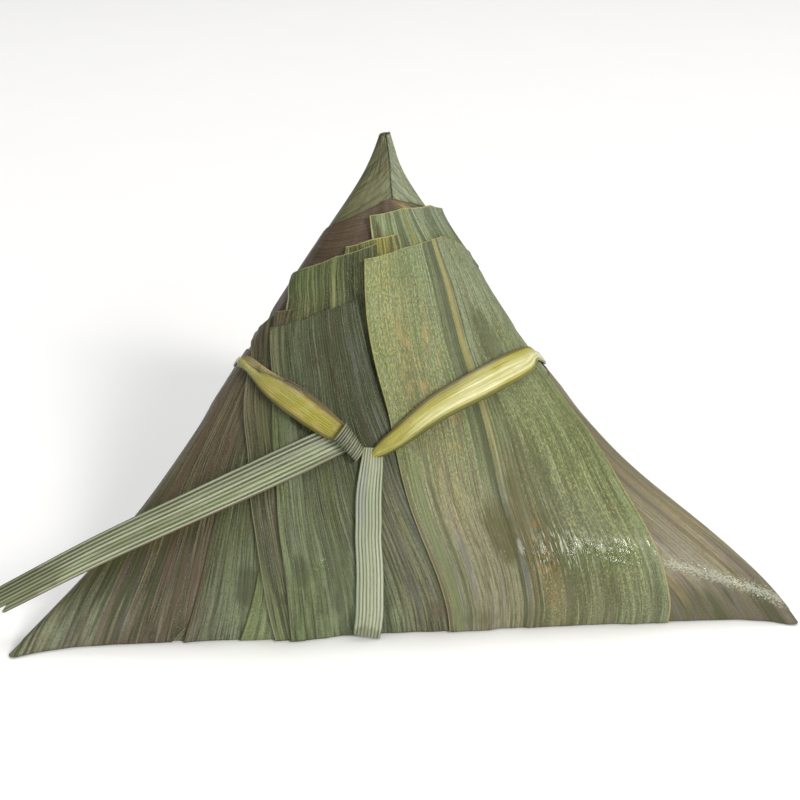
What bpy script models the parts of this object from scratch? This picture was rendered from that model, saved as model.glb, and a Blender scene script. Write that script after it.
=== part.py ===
"""Four-cornered rice dumpling in bamboo leaves, tied round with a split leaf.

Frame: metres, +Z up, flat base on z = 0, long front edge along X facing -Y.
The wrapped filling is one solid; every leaf over it and the tie are solids of
their own, laid one over another with a clearance between them.
"""
import bpy
import math
import numpy as np

MM = 0.001
CLEAR = 0.32            # clearance between layers, mm
LEAF = 0.40             # leaf thickness, mm
REACH = 4.2             # how far a leaf feels the edges of those below it, mm
BASE_EDGE = 0.35        # height of the lower leaf edges above the base plane, mm
HEIGHT = 73.0           # base to the top of the horn, mm

# the three long edges of the wrapped filling, by height (mm)
EDGE_Z = (0, 5, 12, 22, 34, 48, 62, 68, 73)
LEFT_X = (-66.0, -60.0, -51.2, -40.9, -30.3, -18.6, -7.8, -3.6, -1.8)
RIGHT_X = (66.0, 62.6, 53.8, 39.0, 26.6, 14.7, 3.8, -0.1, -1.7)
SIDE_Y = (-38.0, -34.8, -29.6, -22.8, -15.0, -6.4, 3.0, 6.6, 8.6)
FRONT_Y = (-34.4, -34.8, -34.6, -30.4, -21.0, -9.4, 1.8, 5.8, 8.2)
BACK_Y = (56.5, 54.2, 49.2, 42.8, 35.1, 26.0, 16.4, 12.0, 9.6)
BELLY = (0.6, 1.8, 3.8, 6.2, 7.0, 5.3, 2.0, 0.8, 0.2)
BLUNT = (9.0, 6.0, 4.2, 2.9, 2.3, 2.0, 1.8, 1.8, 1.8)
ROUND = (1.0, 1.3, 1.8, 2.6, 3.4, 2.8, 1.4, 0.8, 0.5)
BACK_X = -1.0

ROWS = 145
AROUND = 360
SIDE = AROUND // 3
HEIGHTS = np.linspace(0.0, HEIGHT, ROWS)

# section places round the body: 0 left edge, 1 right edge, 2 back edge
CORNER_STEPS = (0.010, 0.026, 0.052, 0.100, 0.180, 0.280, 0.390)
BODY_Z = (0, 0.9, 3, 6, 10, 14, 18.5, 23.5, 28.5, 33.5, 38.5, 43.5, 48.5, 53.5, 58.5, 63.5, 68, 71.5, 73)

for old in list(bpy.data.objects):
    bpy.data.objects.remove(old, do_unlink=True)


def new_collection(name):
    """Collection linked to the scene."""
    made = bpy.data.collections.new(name)
    bpy.context.scene.collection.children.link(made)
    return made


dumpling = new_collection("zongzi_rice_dumpling")
helpers = new_collection("cutters")


def material(name, colour, roughness):
    """Plain dielectric material."""
    made = bpy.data.materials.new(name)
    made.use_nodes = True
    shader = made.node_tree.nodes["Principled BSDF"]
    shader.inputs["Base Color"].default_value = (*colour, 1.0)
    shader.inputs["Roughness"].default_value = roughness
    shader.inputs["Metallic"].default_value = 0.0
    return made


def mesh_object(name, verts, faces, mat, group):
    """Object from points in mm, faces turned outwards."""
    mesh = bpy.data.meshes.new(name)
    mesh.from_pydata([tuple(v * MM) for v in verts], [], faces)
    mesh.materials.append(mat)
    mesh.validate()
    mesh.update()
    obj = bpy.data.objects.new(name, mesh)
    group.objects.link(obj)
    return obj


def grid_faces(rows, cols, closed=False):
    """Quads of a grid stored row by row, rows running downwards."""
    faces = []
    span = cols if closed else cols - 1
    for i in range(rows - 1):
        for j in range(span):
            k = (j + 1) % cols
            faces.append((i * cols + j, (i + 1) * cols + j, (i + 1) * cols + k, i * cols + k))
    return faces


# ---- the wrapped filling -------------------------------------------------

def eased(values):
    """Edge values at every height, kinks eased."""
    out = np.interp(HEIGHTS, EDGE_Z, values)
    for _ in range(60):
        out[1:-1] = 0.25 * out[:-2] + 0.5 * out[1:-1] + 0.25 * out[2:]
    return out[:, None]


def side_arc(x0, y0, x1, y1, belly, u):
    """One side of the section: a chord bowed outwards by belly."""
    run_x = x1 - x0
    run_y = y1 - y0
    length = np.hypot(run_x, run_y) + 1e-9
    bow = belly * 4.0 * u * (1.0 - u)
    return x0 + run_x * u + run_y / length * bow, y0 + run_y * u - run_x / length * bow


def body_surface():
    """Points and outward directions, rows by height and columns round the body."""
    left, right = eased(LEFT_X), eased(RIGHT_X)
    side, front, back = eased(SIDE_Y), eased(FRONT_Y), eased(BACK_Y)
    belly, blunt, rounding = eased(BELLY), eased(BLUNT), eased(ROUND)
    u = (np.arange(SIDE) / SIDE)[None, :]
    tail = np.full_like(left, BACK_X)
    front_x = left + (right - left) * u
    front_y = front + (side - front) * np.abs(2.0 * u - 1.0) ** blunt
    right_x, right_y = side_arc(right, side, tail, back, belly, u)
    left_x, left_y = side_arc(tail, back, left, side, belly, u)
    ring = np.stack([np.concatenate([front_x, right_x, left_x], 1),
                     np.concatenate([front_y, right_y, left_y], 1)], -1)
    spacing = np.linalg.norm(np.roll(ring, -1, 1) - ring, axis=2).mean(1)[:, None]
    passes = 400
    weight = np.clip((rounding / spacing) ** 2 / (0.5 * passes), 0.0, 1.0)[..., None]
    for _ in range(passes):
        near = 0.25 * np.roll(ring, 1, 1) + 0.5 * ring + 0.25 * np.roll(ring, -1, 1)
        ring = ring * (1.0 - weight) + near * weight
    level = np.broadcast_to(HEIGHTS[:, None, None], (ROWS, AROUND, 1))
    points = np.concatenate([ring, level], -1)
    along = np.roll(points, -1, 1) - np.roll(points, 1, 1)
    upward = np.gradient(points, axis=0)
    normal = np.cross(along, upward)
    normal /= np.linalg.norm(normal, axis=2)[..., None]
    return points, normal


POINTS, NORMALS = body_surface()


def on_body(t, z, lift=0.0):
    """Point at place t round the body and height z, raised by lift (mm)."""
    t, z, lift = np.broadcast_arrays(np.asarray(t, float), np.asarray(z, float), np.asarray(lift, float))
    col = np.mod(t, 3.0) * SIDE
    row = np.clip(z, 0.0, HEIGHT) / HEIGHT * (ROWS - 1)
    i = np.floor(col).astype(int)
    k = np.minimum(np.floor(row).astype(int), ROWS - 2)
    f = (col - i)[..., None]
    g = (row - k)[..., None]

    def blend(table):
        low = table[k, i % AROUND] * (1 - f) + table[k, (i + 1) % AROUND] * f
        high = table[k + 1, i % AROUND] * (1 - f) + table[k + 1, (i + 1) % AROUND] * f
        return low * (1 - g) + high * g

    out = blend(NORMALS)
    out /= np.linalg.norm(out, axis=-1)[..., None]
    return blend(POINTS) + out * lift[..., None], out


def corner_places():
    """Columns round the body, closer together at the three long edges."""
    places = []
    for corner in (0, 1, 2):
        places += [corner + s for s in (0.0, *CORNER_STEPS)]
        places += [corner + 1 - s for s in reversed((*CORNER_STEPS, 0.5))]
    return np.array(sorted(places))


PLACES = corner_places()

leaf_olive = material("leaf_olive", (0.155, 0.165, 0.070), 0.55)
leaf_brown = material("leaf_brown", (0.135, 0.115, 0.072), 0.55)
leaf_green = material("leaf_green", (0.185, 0.205, 0.085), 0.50)
leaf_grey = material("leaf_grey_green", (0.215, 0.240, 0.130), 0.55)
tie_green = material("tie_leaf", (0.420, 0.430, 0.190), 0.50)

grid_z = np.array(BODY_Z[::-1], float)[:, None]
shrink = np.where(grid_z < 0.5, -0.7, np.where(grid_z > 72.5, -0.2, 0.0))
body_grid, _ = on_body(PLACES[None, :], grid_z, shrink)
body_grid[..., 2] = grid_z
count = len(PLACES)
body_faces = grid_faces(len(BODY_Z), count, closed=True)
body_faces.append(tuple(range(count)))
body_faces.append(tuple(reversed(range((len(BODY_Z) - 1) * count, len(BODY_Z) * count))))
mesh_object("filling_wrap", body_grid.reshape(-1, 3), body_faces, leaf_olive, dumpling)


# ---- leaves --------------------------------------------------------------

laid = []               # (points on the body, height of the upper face) of leaves laid so far


def resting_lift(base, reach):
    """Height above the body that clears everything already laid within reach."""
    flat = base.reshape(-1, 3)
    lift = np.zeros(len(flat))
    for spots, tops in laid:
        far = np.linalg.norm(flat[:, None, :] - spots[None, :, :], axis=2)
        lift = np.maximum(lift, np.where(far < reach, tops[None, :], 0.0).max(1))
    return (lift + CLEAR).reshape(base.shape[:-1])


def lay(name, t, z, mat):
    """Leaf over a grid of places: rows run down the leaf, columns across it."""
    base, _ = on_body(t, z)
    lift = resting_lift(base, REACH)
    for _ in range(3):
        wide = np.pad(lift, 1, mode="edge")
        near = (wide[:-2, 1:-1] + wide[2:, 1:-1] + wide[1:-1, :-2] + wide[1:-1, 2:]) / 4.0
        lift = np.maximum(lift, near)
    verts, _ = on_body(t, z, lift)
    low = z < 1.5
    verts[..., 2] = np.where(low, z, verts[..., 2])
    rows, cols = t.shape
    obj = mesh_object(name, verts.reshape(-1, 3), grid_faces(rows, cols), mat, dumpling)
    shell = obj.modifiers.new("thickness", "SOLIDIFY")
    shell.thickness = LEAF * MM
    shell.offset = 1.0
    shell.use_even_offset = False
    fine_r = np.linspace(0, rows - 1, (rows - 1) * 4 + 1)
    fine_c = np.linspace(0, cols - 1, (cols - 1) * 4 + 1)

    def refine(table):
        down = np.stack([np.interp(fine_r, np.arange(rows), table[:, j]) for j in range(cols)], 1)
        return np.stack([np.interp(fine_c, np.arange(cols), row) for row in down], 0)

    spots, _ = on_body(refine(t), refine(z))
    laid.append((spots.reshape(-1, 3), (refine(lift) + LEAF).reshape(-1)))
    return obj


def edge_line(points, count):
    """Evenly spread (place, height) pairs along a list of corner points."""
    pts = np.array(points, float)
    run = np.concatenate([[0.0], np.cumsum(np.hypot(np.diff(pts[:, 0]) * 60.0, np.diff(pts[:, 1])))])
    at = np.linspace(0.0, run[-1], count)
    return np.stack([np.interp(at, run, pts[:, 0]), np.interp(at, run, pts[:, 1])], -1)


def strip_leaf(name, left, right, top, rows, cols, mat):
    """Leaf between two side edges with a shaped upper end."""
    a = edge_line(left, rows)[:, None, :]
    b = edge_line(right, rows)[:, None, :]
    u = np.linspace(0.0, 1.0, cols)[None, :, None]
    v = np.linspace(0.0, 1.0, rows)[:, None, None]
    plain = a * (1 - u) + b * u
    crest = edge_line(top, cols)[None, :, :] - plain[:1]
    grid = plain + crest * (1 - v) ** 3
    return lay(name, grid[..., 0], grid[..., 1], mat)


def wrap_leaf(name, start, end, upper, lower, rows, mat):
    """Leaf bent round a corner between two places, following the body columns."""
    turns = np.concatenate([PLACES - 3.0, PLACES, PLACES + 3.0])
    inner = turns[(turns > start + 0.004) & (turns < end - 0.004)]
    t = np.concatenate([[start], inner, [end]])
    high = np.interp(t, [p for p, _ in upper], [h for _, h in upper])
    low = np.interp(t, [p for p, _ in lower], [h for _, h in lower])
    v = 1.0 - (1.0 - np.linspace(0.0, 1.0, rows)[:, None]) ** 1.5
    z = high[None, :] * (1 - v) + low[None, :] * v
    return lay(name, np.broadcast_to(t[None, :], z.shape).copy(), z, mat)


FLOOR_LINE = ((-3.0, BASE_EDGE), (6.0, BASE_EDGE))

wrap_leaf("leaf_horn_left", -1.10, 0.585,
          ((-1.1, 72.2), (0.6, 72.2)),
          ((-1.1, 19.0), (-0.55, 17.0), (0.0, 36.0), (0.585, 44.0)), 9, leaf_olive)
wrap_leaf("leaf_horn_right", 0.605, 1.955,
          ((0.6, 72.2), (2.0, 72.2)),
          ((0.605, 44.0), (1.0, 36.0), (1.55, 17.0), (1.955, 19.0)), 9, leaf_grey)
wrap_leaf("leaf_horn_collar", -0.45, 1.30,
          ((-0.45, 54.0), (0.0, 59.0), (0.44, 62.3), (0.61, 62.9), (1.05, 61.2), (1.30, 58.0)),
          ((-0.45, 46.0), (0.0, 43.0), (0.6, 47.0), (1.0, 43.0), (1.30, 46.0)), 5, leaf_brown)
wrap_leaf("leaf_left_corner", -0.64, 0.20,
          ((-0.64, 24.0), (-0.3, 35.0), (0.0, 41.0), (0.20, 38.0)), FLOOR_LINE, 9, leaf_brown)
wrap_leaf("leaf_right_corner", 0.80, 1.64,
          ((0.80, 32.0), (1.0, 35.5), (1.3, 33.0), (1.64, 24.0)), FLOOR_LINE, 9, leaf_brown)
wrap_leaf("leaf_back_corner", 1.46, 2.54,
          ((1.46, 15.0), (1.7, 21.0), (2.0, 27.0), (2.3, 21.0), (2.54, 15.0)), FLOOR_LINE, 7, leaf_olive)

strip_leaf("leaf_left_inner",
           ((0.09, 33.5), (0.14, 20.5), (0.18, 9.5), (0.215, BASE_EDGE)),
           ((0.17, 34.0), (0.25, 20.0), (0.33, BASE_EDGE)),
           ((0.09, 33.5), (0.13, 34.2), (0.17, 34.0)), 9, 6, leaf_green)
strip_leaf("leaf_upper_right",
           ((0.345, 60.0), (0.39, 57.0), (0.40, 51.0)),
           ((1.185, 59.0), (1.16, 50.0)),
           ((0.345, 60.0), (0.70, 61.0), (1.02, 60.7), (1.185, 59.0)), 5, 12, leaf_grey)
strip_leaf("leaf_upper_sliver",
           ((-0.04, 52.0), (0.08, 45.0)),
           ((0.16, 54.5), (0.22, 46.0)),
           ((-0.04, 52.0), (0.16, 54.5)), 5, 4, leaf_brown)
strip_leaf("leaf_upper_tab",
           ((0.20, 55.7), (0.25, 51.0)),
           ((0.59, 57.3), (0.62, 51.0)),
           ((0.20, 55.7), (0.41, 56.8), (0.59, 57.3)), 4, 7, leaf_olive)
strip_leaf("leaf_upper_left",
           ((-0.10, 50.0), (0.0, 48.0), (0.13, 41.0)),
           ((0.43, 56.0), (0.45, 51.0), (0.50, 40.0)),
           ((-0.10, 50.0), (0.0, 52.0), (0.15, 54.0), (0.43, 56.0)), 7, 10, leaf_green)
strip_leaf("leaf_gusset",
           ((0.25, 14.0), (0.285, BASE_EDGE)),
           ((0.285, 14.0), (0.325, 9.0), (0.37, BASE_EDGE)),
           ((0.25, 14.0), (0.285, 14.0)), 5, 5, leaf_green)
strip_leaf("leaf_left_strip",
           ((-0.12, 41.0), (0.0, 40.0), (0.15, 28.0), (0.225, 18.5), (0.33, BASE_EDGE)),
           ((0.06, 46.5), (0.10, 43.0), (0.25, 28.0), (0.39, BASE_EDGE)),
           ((-0.12, 41.0), (-0.02, 45.5), (0.06, 46.5)), 12, 5, leaf_brown)
strip_leaf("leaf_front_left",
           ((0.03, 43.5), (0.14, 36.5), (0.235, 25.0), (0.285, 15.0), (0.35, BASE_EDGE)),
           ((0.35, 48.5), (0.41, 43.0), (0.51, 30.0), (0.55, 20.0), (0.59, BASE_EDGE)),
           ((0.03, 43.5), (0.185, 46.5), (0.35, 48.5)),
           12, 10, leaf_olive)
strip_leaf("leaf_front_right",
           ((0.36, 53.5), (0.40, 46.0), (0.485, 34.0), (0.515, 20.0), (0.55, BASE_EDGE)),
           ((1.18, 52.0), (1.03, 41.0), (1.0, 29.0), (0.92, 17.5), (0.86, 8.0), (0.832, BASE_EDGE)),
           ((0.36, 53.5), (0.60, 55.2), (0.93, 56.4), (1.06, 55.0), (1.18, 52.0)), 12, 14, leaf_green)


# ---- tie -----------------------------------------------------------------

def sweep(name, centre, face_out, half_width, half_depth, group):
    """Closed strip along a line of points, its flat turned to face_out."""
    ahead = np.gradient(centre, axis=0)
    ahead /= np.linalg.norm(ahead, axis=1)[:, None]
    out = face_out - ahead * (face_out * ahead).sum(1)[:, None]
    out /= np.linalg.norm(out, axis=1)[:, None]
    across = np.cross(out, ahead)
    angles = np.arange(8) / 8.0 * 2.0 * math.pi + math.pi / 8.0
    c = np.sign(np.cos(angles)) * np.abs(np.cos(angles)) ** 0.8
    s = np.sign(np.sin(angles)) * np.abs(np.sin(angles)) ** 0.8
    wide = half_width[:, None, None] * c[None, :, None] * across[:, None, :]
    deep = half_depth[:, None, None] * s[None, :, None] * out[:, None, :]
    verts = (centre[:, None, :] + wide + deep).reshape(-1, 3)
    rows = len(centre)
    faces = grid_faces(rows, 8, closed=True)
    faces.append(tuple(range(8)))
    faces.append(tuple(reversed(range((rows - 1) * 8, rows * 8))))
    return mesh_object(name, verts, faces, tie_green, group)


def tie_line(t, z, half_depth, extra):
    """Line over the leaves, clear of them by the usual gap."""
    base, _ = on_body(t, z)
    lift = resting_lift(base, 4.6) + extra
    for _ in range(2):
        wide = np.pad(lift, 1, mode="edge")
        lift = np.maximum(lift, (wide[:-2] + wide[2:]) / 2.0)
    return on_body(t, z, lift + half_depth)


TIE_T = (0.455, 0.62, 0.843, 0.988, 1.3, 1.6, 2.0, 2.4, 2.7, 3.028, 3.205, 3.363)
TIE_Z = (29.6, 33.2, 37.2, 37.6, 32.0, 28.5, 26.6, 27.4, 31.0, 38.0, 34.6, 30.8)
TIE_HALF = (1.0, 2.1, 2.4, 2.4, 2.2, 2.2, 2.2, 2.2, 2.0, 1.2, 2.2, 1.6)
TAIL_DEPTH = 0.55

steps = [t for t in np.concatenate([PLACES, PLACES + 3.0]) if 0.47 < t < 3.35]
steps = np.array(sorted([0.44, *steps, 0.57, 0.67, 0.76, 1.44, 1.56, 2.44, 2.56, 3.14, 3.23, 3.32, 3.38]))
loop_z = np.interp(steps, TIE_T, TIE_Z)
loop_half = np.interp(steps, TIE_T, TIE_HALF)
loop_deep = np.minimum(loop_half, 0.95)
loop_mid, loop_out = tie_line(steps, loop_z, loop_deep, 0.15)
tie = sweep("tie", loop_mid, loop_out, loop_half, loop_deep, dumpling)

down_t = np.array([0.412, 0.418, 0.422, 0.421, 0.420, 0.421, 0.422, 0.426, 0.432])
down_z = np.array([31.0, 28.5, 25.0, 20.3, 16.0, 12.0, 9.0, 5.0, 0.9])
down_mid, down_out = tie_line(down_t, down_z, TAIL_DEPTH, 0.2)
down_mid[:, 2] = down_z
down_half = np.interp(down_z, (0.0, 25.0, 31.0), (2.5, 2.1, 1.6))
tail_down = sweep("tail_down_helper", down_mid, down_out, down_half, np.full(9, TAIL_DEPTH), helpers)

side_t = np.array([0.385, 0.335, 0.26, 0.177])
side_z = np.array([32.0, 31.4, 29.7, 27.3])
side_mid, side_out = tie_line(side_t, side_z, TAIL_DEPTH, 0.2)
free_mid = np.array([(-36.6, -32.0, 22.6), (-46.4, -33.0, 17.6), (-57.0, -33.4, 12.4), (-67.6, -33.4, 7.6)])
free_out = np.array([(-0.30, -0.80, 0.50), (-0.25, -0.82, 0.48), (-0.2, -0.84, 0.46), (-0.2, -0.85, 0.45)])
tail_mid = np.concatenate([side_mid, free_mid])
tail_out = np.concatenate([side_out, free_out])
tail_half = np.array([1.6, 2.4, 2.6, 2.6, 2.6, 2.6, 2.7, 2.8])
tail_side = sweep("tail_side_helper", tail_mid, tail_out, tail_half, np.full(8, TAIL_DEPTH), helpers)

knot_mid, knot_out = tie_line(np.array([0.40, 0.41, 0.42]), np.array([31.0, 31.0, 31.0]), 1.7, 0.15)
bpy.ops.mesh.primitive_uv_sphere_add(segments=14, ring_count=8, radius=1.0)
knot = bpy.context.active_object
knot.name = "knot_helper"
knot.data.materials.append(tie_green)
for owner in list(knot.users_collection):
    owner.objects.unlink(knot)
helpers.objects.link(knot)
for vert in knot.data.vertices:
    vert.co.x = (vert.co.x * 3.4 + knot_mid[1][0]) * MM
    vert.co.y = (vert.co.y * 2.2 + knot_mid[1][1]) * MM
    vert.co.z = (vert.co.z * 3.1 + knot_mid[1][2]) * MM

for piece in (knot, tail_side, tail_down):
    piece.hide_render = True
    piece.display_type = "WIRE"
    joined = tie.modifiers.new("with_" + piece.name, "BOOLEAN")
    joined.operation = "UNION"
    joined.solver = "EXACT"
    joined.object = piece
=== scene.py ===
import bpy
import math
import numpy as np
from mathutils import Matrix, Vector


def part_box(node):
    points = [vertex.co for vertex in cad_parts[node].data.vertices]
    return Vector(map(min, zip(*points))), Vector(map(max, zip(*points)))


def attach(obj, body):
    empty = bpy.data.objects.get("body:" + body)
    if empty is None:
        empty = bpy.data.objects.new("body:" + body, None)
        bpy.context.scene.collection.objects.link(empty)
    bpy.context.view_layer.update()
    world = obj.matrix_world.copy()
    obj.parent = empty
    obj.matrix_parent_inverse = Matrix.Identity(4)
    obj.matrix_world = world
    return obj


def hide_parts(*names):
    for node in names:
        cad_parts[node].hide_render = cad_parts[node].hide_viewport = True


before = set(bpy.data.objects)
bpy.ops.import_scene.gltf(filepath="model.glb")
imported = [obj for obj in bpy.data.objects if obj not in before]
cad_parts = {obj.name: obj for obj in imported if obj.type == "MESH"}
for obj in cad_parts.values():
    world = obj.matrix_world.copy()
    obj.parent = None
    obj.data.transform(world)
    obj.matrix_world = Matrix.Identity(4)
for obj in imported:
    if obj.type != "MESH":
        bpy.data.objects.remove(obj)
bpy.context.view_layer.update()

mm = 0.001
fullTurn = 6.283                                       # radians
fillingLow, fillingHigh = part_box("filling_wrap")
bodyHeight = (fillingHigh.z - fillingLow.z) / mm       # base to the tip of the horn, mm
print("frame loaded, body height", round(bodyHeight, 1), "mm")


# each sRGB channel c goes to c/12.92 below 0.04045, else to ((c + 0.055)/1.055) to the power 2.4
def linear(code):
    values = [int(code[i:i + 2], 16) / 255 for i in (1, 3, 5)]
    return tuple(c / 12.92 if c <= 0.04045 else ((c + 0.055) / 1.055) ** 2.4 for c in values) + (1.0,)


# adds one node: settings are its properties, inputs its socket values, the sockets that feed them, or
# nodes that feed them from their first output
def add(tree, kind, inputs=None, **settings):
    made = tree.nodes.new("ShaderNode" + kind)
    for key, value in settings.items():
        setattr(made, key, value)
    for key, value in (inputs or {}).items():
        if isinstance(value, bpy.types.Node):
            value = value.outputs[0]
        if isinstance(value, bpy.types.NodeSocket):
            tree.links.new(value, made.inputs[key])
        else:
            made.inputs[key].default_value = value
    return made


# the body that everything lies on

# heights and positions of the three long edges, in mm, how the sides bow and the corners round (at most
# widestRounding grid steps), and how far the leaves inside make it swell: fully between the places
# swellSides of the front, and fading between the heights swellEnds
body = {
    "edgeZ": (0, 5, 12, 22, 34, 48, 62, 68, 73),
    "leftX": (-66.0, -60.0, -51.2, -40.9, -30.3, -18.6, -7.8, -3.6, -1.8),
    "rightX": (66.0, 62.6, 53.8, 39.0, 26.6, 14.7, 3.8, -0.1, -1.7),
    "sideY": (-38.0, -34.8, -29.6, -22.8, -15.0, -6.4, 3.0, 6.6, 8.6),
    "frontY": (-34.4, -34.8, -34.6, -30.4, -21.0, -9.4, 1.8, 5.8, 8.2),
    "backY": (56.5, 54.2, 49.2, 42.8, 35.1, 26.0, 16.4, 12.0, 9.6),
    "belly": (0.6, 1.8, 3.8, 6.2, 7.0, 5.3, 2.0, 0.8, 0.2),
    "blunt": (9.0, 6.0, 4.2, 2.9, 2.3, 2.0, 1.8, 1.8, 1.8),
    "rounding": (1.0, 1.3, 1.8, 2.6, 3.4, 2.8, 1.4, 0.8, 0.5),
    "backX": -1.0, "rows": 289, "side": 480, "easing": 240, "sideSwell": 0.15, "frontSwell": 0.75,
    "swellSides": (0.25, 0.8), "swellEnds": (56, 66), "widestRounding": 56.0,
}
around = body["side"] * 3
heights = np.linspace(0.0, bodyHeight, body["rows"])


# 0 below low, 1 above high, and three t squared less two t cubed between them
def smoothStep(low, high, x):
    t = np.clip((x - low) / (high - low), 0.0, 1.0)
    return t * t * (3 - 2 * t)


# values averaged with their neighbours again and again, the two ends kept
def averaged(values, passes):
    for _ in range(passes):
        values[1:-1] = 0.25 * values[:-2] + 0.5 * values[1:-1] + 0.25 * values[2:]
    return values


# a list of edge values read at every height, its kinks eased by averaging
def eased(key):
    return averaged(np.interp(heights, body["edgeZ"], body[key]), body["easing"])[:, None]


# a chord from one corner to the next, bowed outwards by belly times 4u(1-u)
def sideArc(x0, y0, x1, y1, belly, u):
    runX, runY = x1 - x0, y1 - y0
    length = np.hypot(runX, runY) + 1e-9
    bow = belly * 4 * u * (1 - u)
    return x0 + runX * u + runY / length * bow, y0 + runY * u - runX / length * bow


# rows by height, columns round the body: the front follows front + (side - front)|2u-1|^blunt, the two
# back sides are bowed chords, and each ring is rounded by a Gaussian taken in its Fourier series
def bodySurface():
    left, right, side, front = eased("leftX"), eased("rightX"), eased("sideY"), eased("frontY")
    back, belly, blunt, rounding = eased("backY"), eased("belly"), eased("blunt"), eased("rounding")
    u = (np.arange(body["side"]) / body["side"])[None, :]
    tail = np.full_like(left, body["backX"])
    frontX = left + (right - left) * u
    frontY = front + (side - front) * np.abs(2 * u - 1) ** blunt
    rightX, rightY = sideArc(right, side, tail, back, belly, u)
    leftX, leftY = sideArc(tail, back, left, side, belly, u)
    ring = np.concatenate([frontX, rightX, leftX], 1) + 1j * np.concatenate([frontY, rightY, leftY], 1)
    spacing = np.abs(np.roll(ring, -1, 1) - ring).mean(1)[:, None]
    spread = np.minimum(rounding / spacing, body["widestRounding"])
    wave = np.fft.fftfreq(around)[None, :]
    ring = np.fft.ifft(np.fft.fft(ring, axis=1) * np.exp(-2 * (math.pi * wave * spread) ** 2), axis=1)
    level = np.broadcast_to(heights[:, None], ring.shape)
    points = np.stack([ring.real, ring.imag, level], -1)
    normal = np.cross(np.roll(points, -1, 1) - np.roll(points, 1, 1), np.gradient(points, axis=0))
    normal /= np.linalg.norm(normal, axis=2)[..., None]
    return points, normal


bodyPoints, bodyNormals = bodySurface()
print("body surface worked out")


# point at place t round the body (0 left edge, 1 right edge, 2 back edge) and height z, raised by lift:
# a bilinear reading of the body grid, moved along the outward direction there
def onBody(t, z, lift=0.0):
    t, z, lift = np.broadcast_arrays(np.asarray(t, float), np.asarray(z, float), np.asarray(lift, float))
    col = np.mod(t, 3.0) * body["side"]
    row = np.clip(z, 0.0, bodyHeight) / bodyHeight * (body["rows"] - 1)
    i = np.floor(col).astype(int)
    k = np.minimum(np.floor(row).astype(int), body["rows"] - 2)
    f, g = (col - i)[..., None], (row - k)[..., None]

    def blend(table):
        low = table[k, i % around] * (1 - f) + table[k, (i + 1) % around] * f
        high = table[k + 1, i % around] * (1 - f) + table[k + 1, (i + 1) % around] * f
        return low * (1 - g) + high * g

    out = blend(bodyNormals)
    out /= np.linalg.norm(out, axis=-1)[..., None]
    # the leaves press thickest at the front, so the body swells there a little
    m = np.mod(t, 3.0)
    leftSide, rightSide = body["swellSides"]
    frontness = smoothStep(0.0, leftSide, m) * (1 - smoothStep(rightSide, 1.0, m))
    swell = body["sideSwell"] + (body["frontSwell"] - body["sideSwell"]) * frontness
    swell = swell * (1 - smoothStep(*body["swellEnds"], z))
    return blend(bodyPoints) + out * (lift + swell)[..., None], out


# smooth random waves: a sum of sines whose directions and phases come from a seeded generator
def ripple(x, y, seed, count=6):
    rng = np.random.default_rng(seed)
    out = np.zeros(np.broadcast(x, y).shape)
    for _ in range(count):
        a, b, phase = rng.normal(), rng.normal(), rng.uniform(0, fullTurn)
        out = out + np.sin(a * x + b * y + phase)
    return out / count ** 0.5


# quads of a grid stored row by row
def gridFaces(rows, cols, closed=False):
    k = np.arange(rows * cols).reshape(rows, cols)
    if closed:
        k = np.concatenate([k, k[:, :1]], 1)
    return np.stack([k[:-1, :-1], k[1:, :-1], k[1:, 1:], k[:-1, 1:]], -1).reshape(-1, 4)


# a smooth-shaded piece from points in mm, its place across and along the leaf kept in leafMap
def makeMesh(name, points, faces, uv=None):
    mesh = bpy.data.meshes.new(name)
    mesh.from_pydata(np.asarray(points).reshape(-1, 3) * mm, [], np.asarray(faces).tolist())
    if uv is not None:
        leafMap = mesh.uv_layers.new(name="leafMap")
        loops = np.zeros(len(mesh.loops), int)
        mesh.loops.foreach_get("vertex_index", loops)
        leafMap.data.foreach_set("uv", np.asarray(uv).reshape(-1, 2)[loops].ravel())
    mesh.polygons.foreach_set("use_smooth", np.ones(len(mesh.polygons), bool))
    piece = bpy.data.objects.new(name, mesh)
    bpy.context.scene.collection.objects.link(piece)
    return piece


# the wrapped filling under the outer leaves: rings round the body from the base to the tip, closed below
# by rings that shrink to the middle of the base and above by rings that shrink to the tip. The base is
# folded in overlapping flaps, each a smooth step of 0.14 mm, and stays between its low and high limit
wrapShape = {"cols": 420, "footRows": 8, "sideRows": 150, "baseRows": 46, "baseMiddle": (0.0, 8.0, 0.0),
             "baseLow": 0.05, "baseHigh": 0.38, "footHeight": 0.4}


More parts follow.
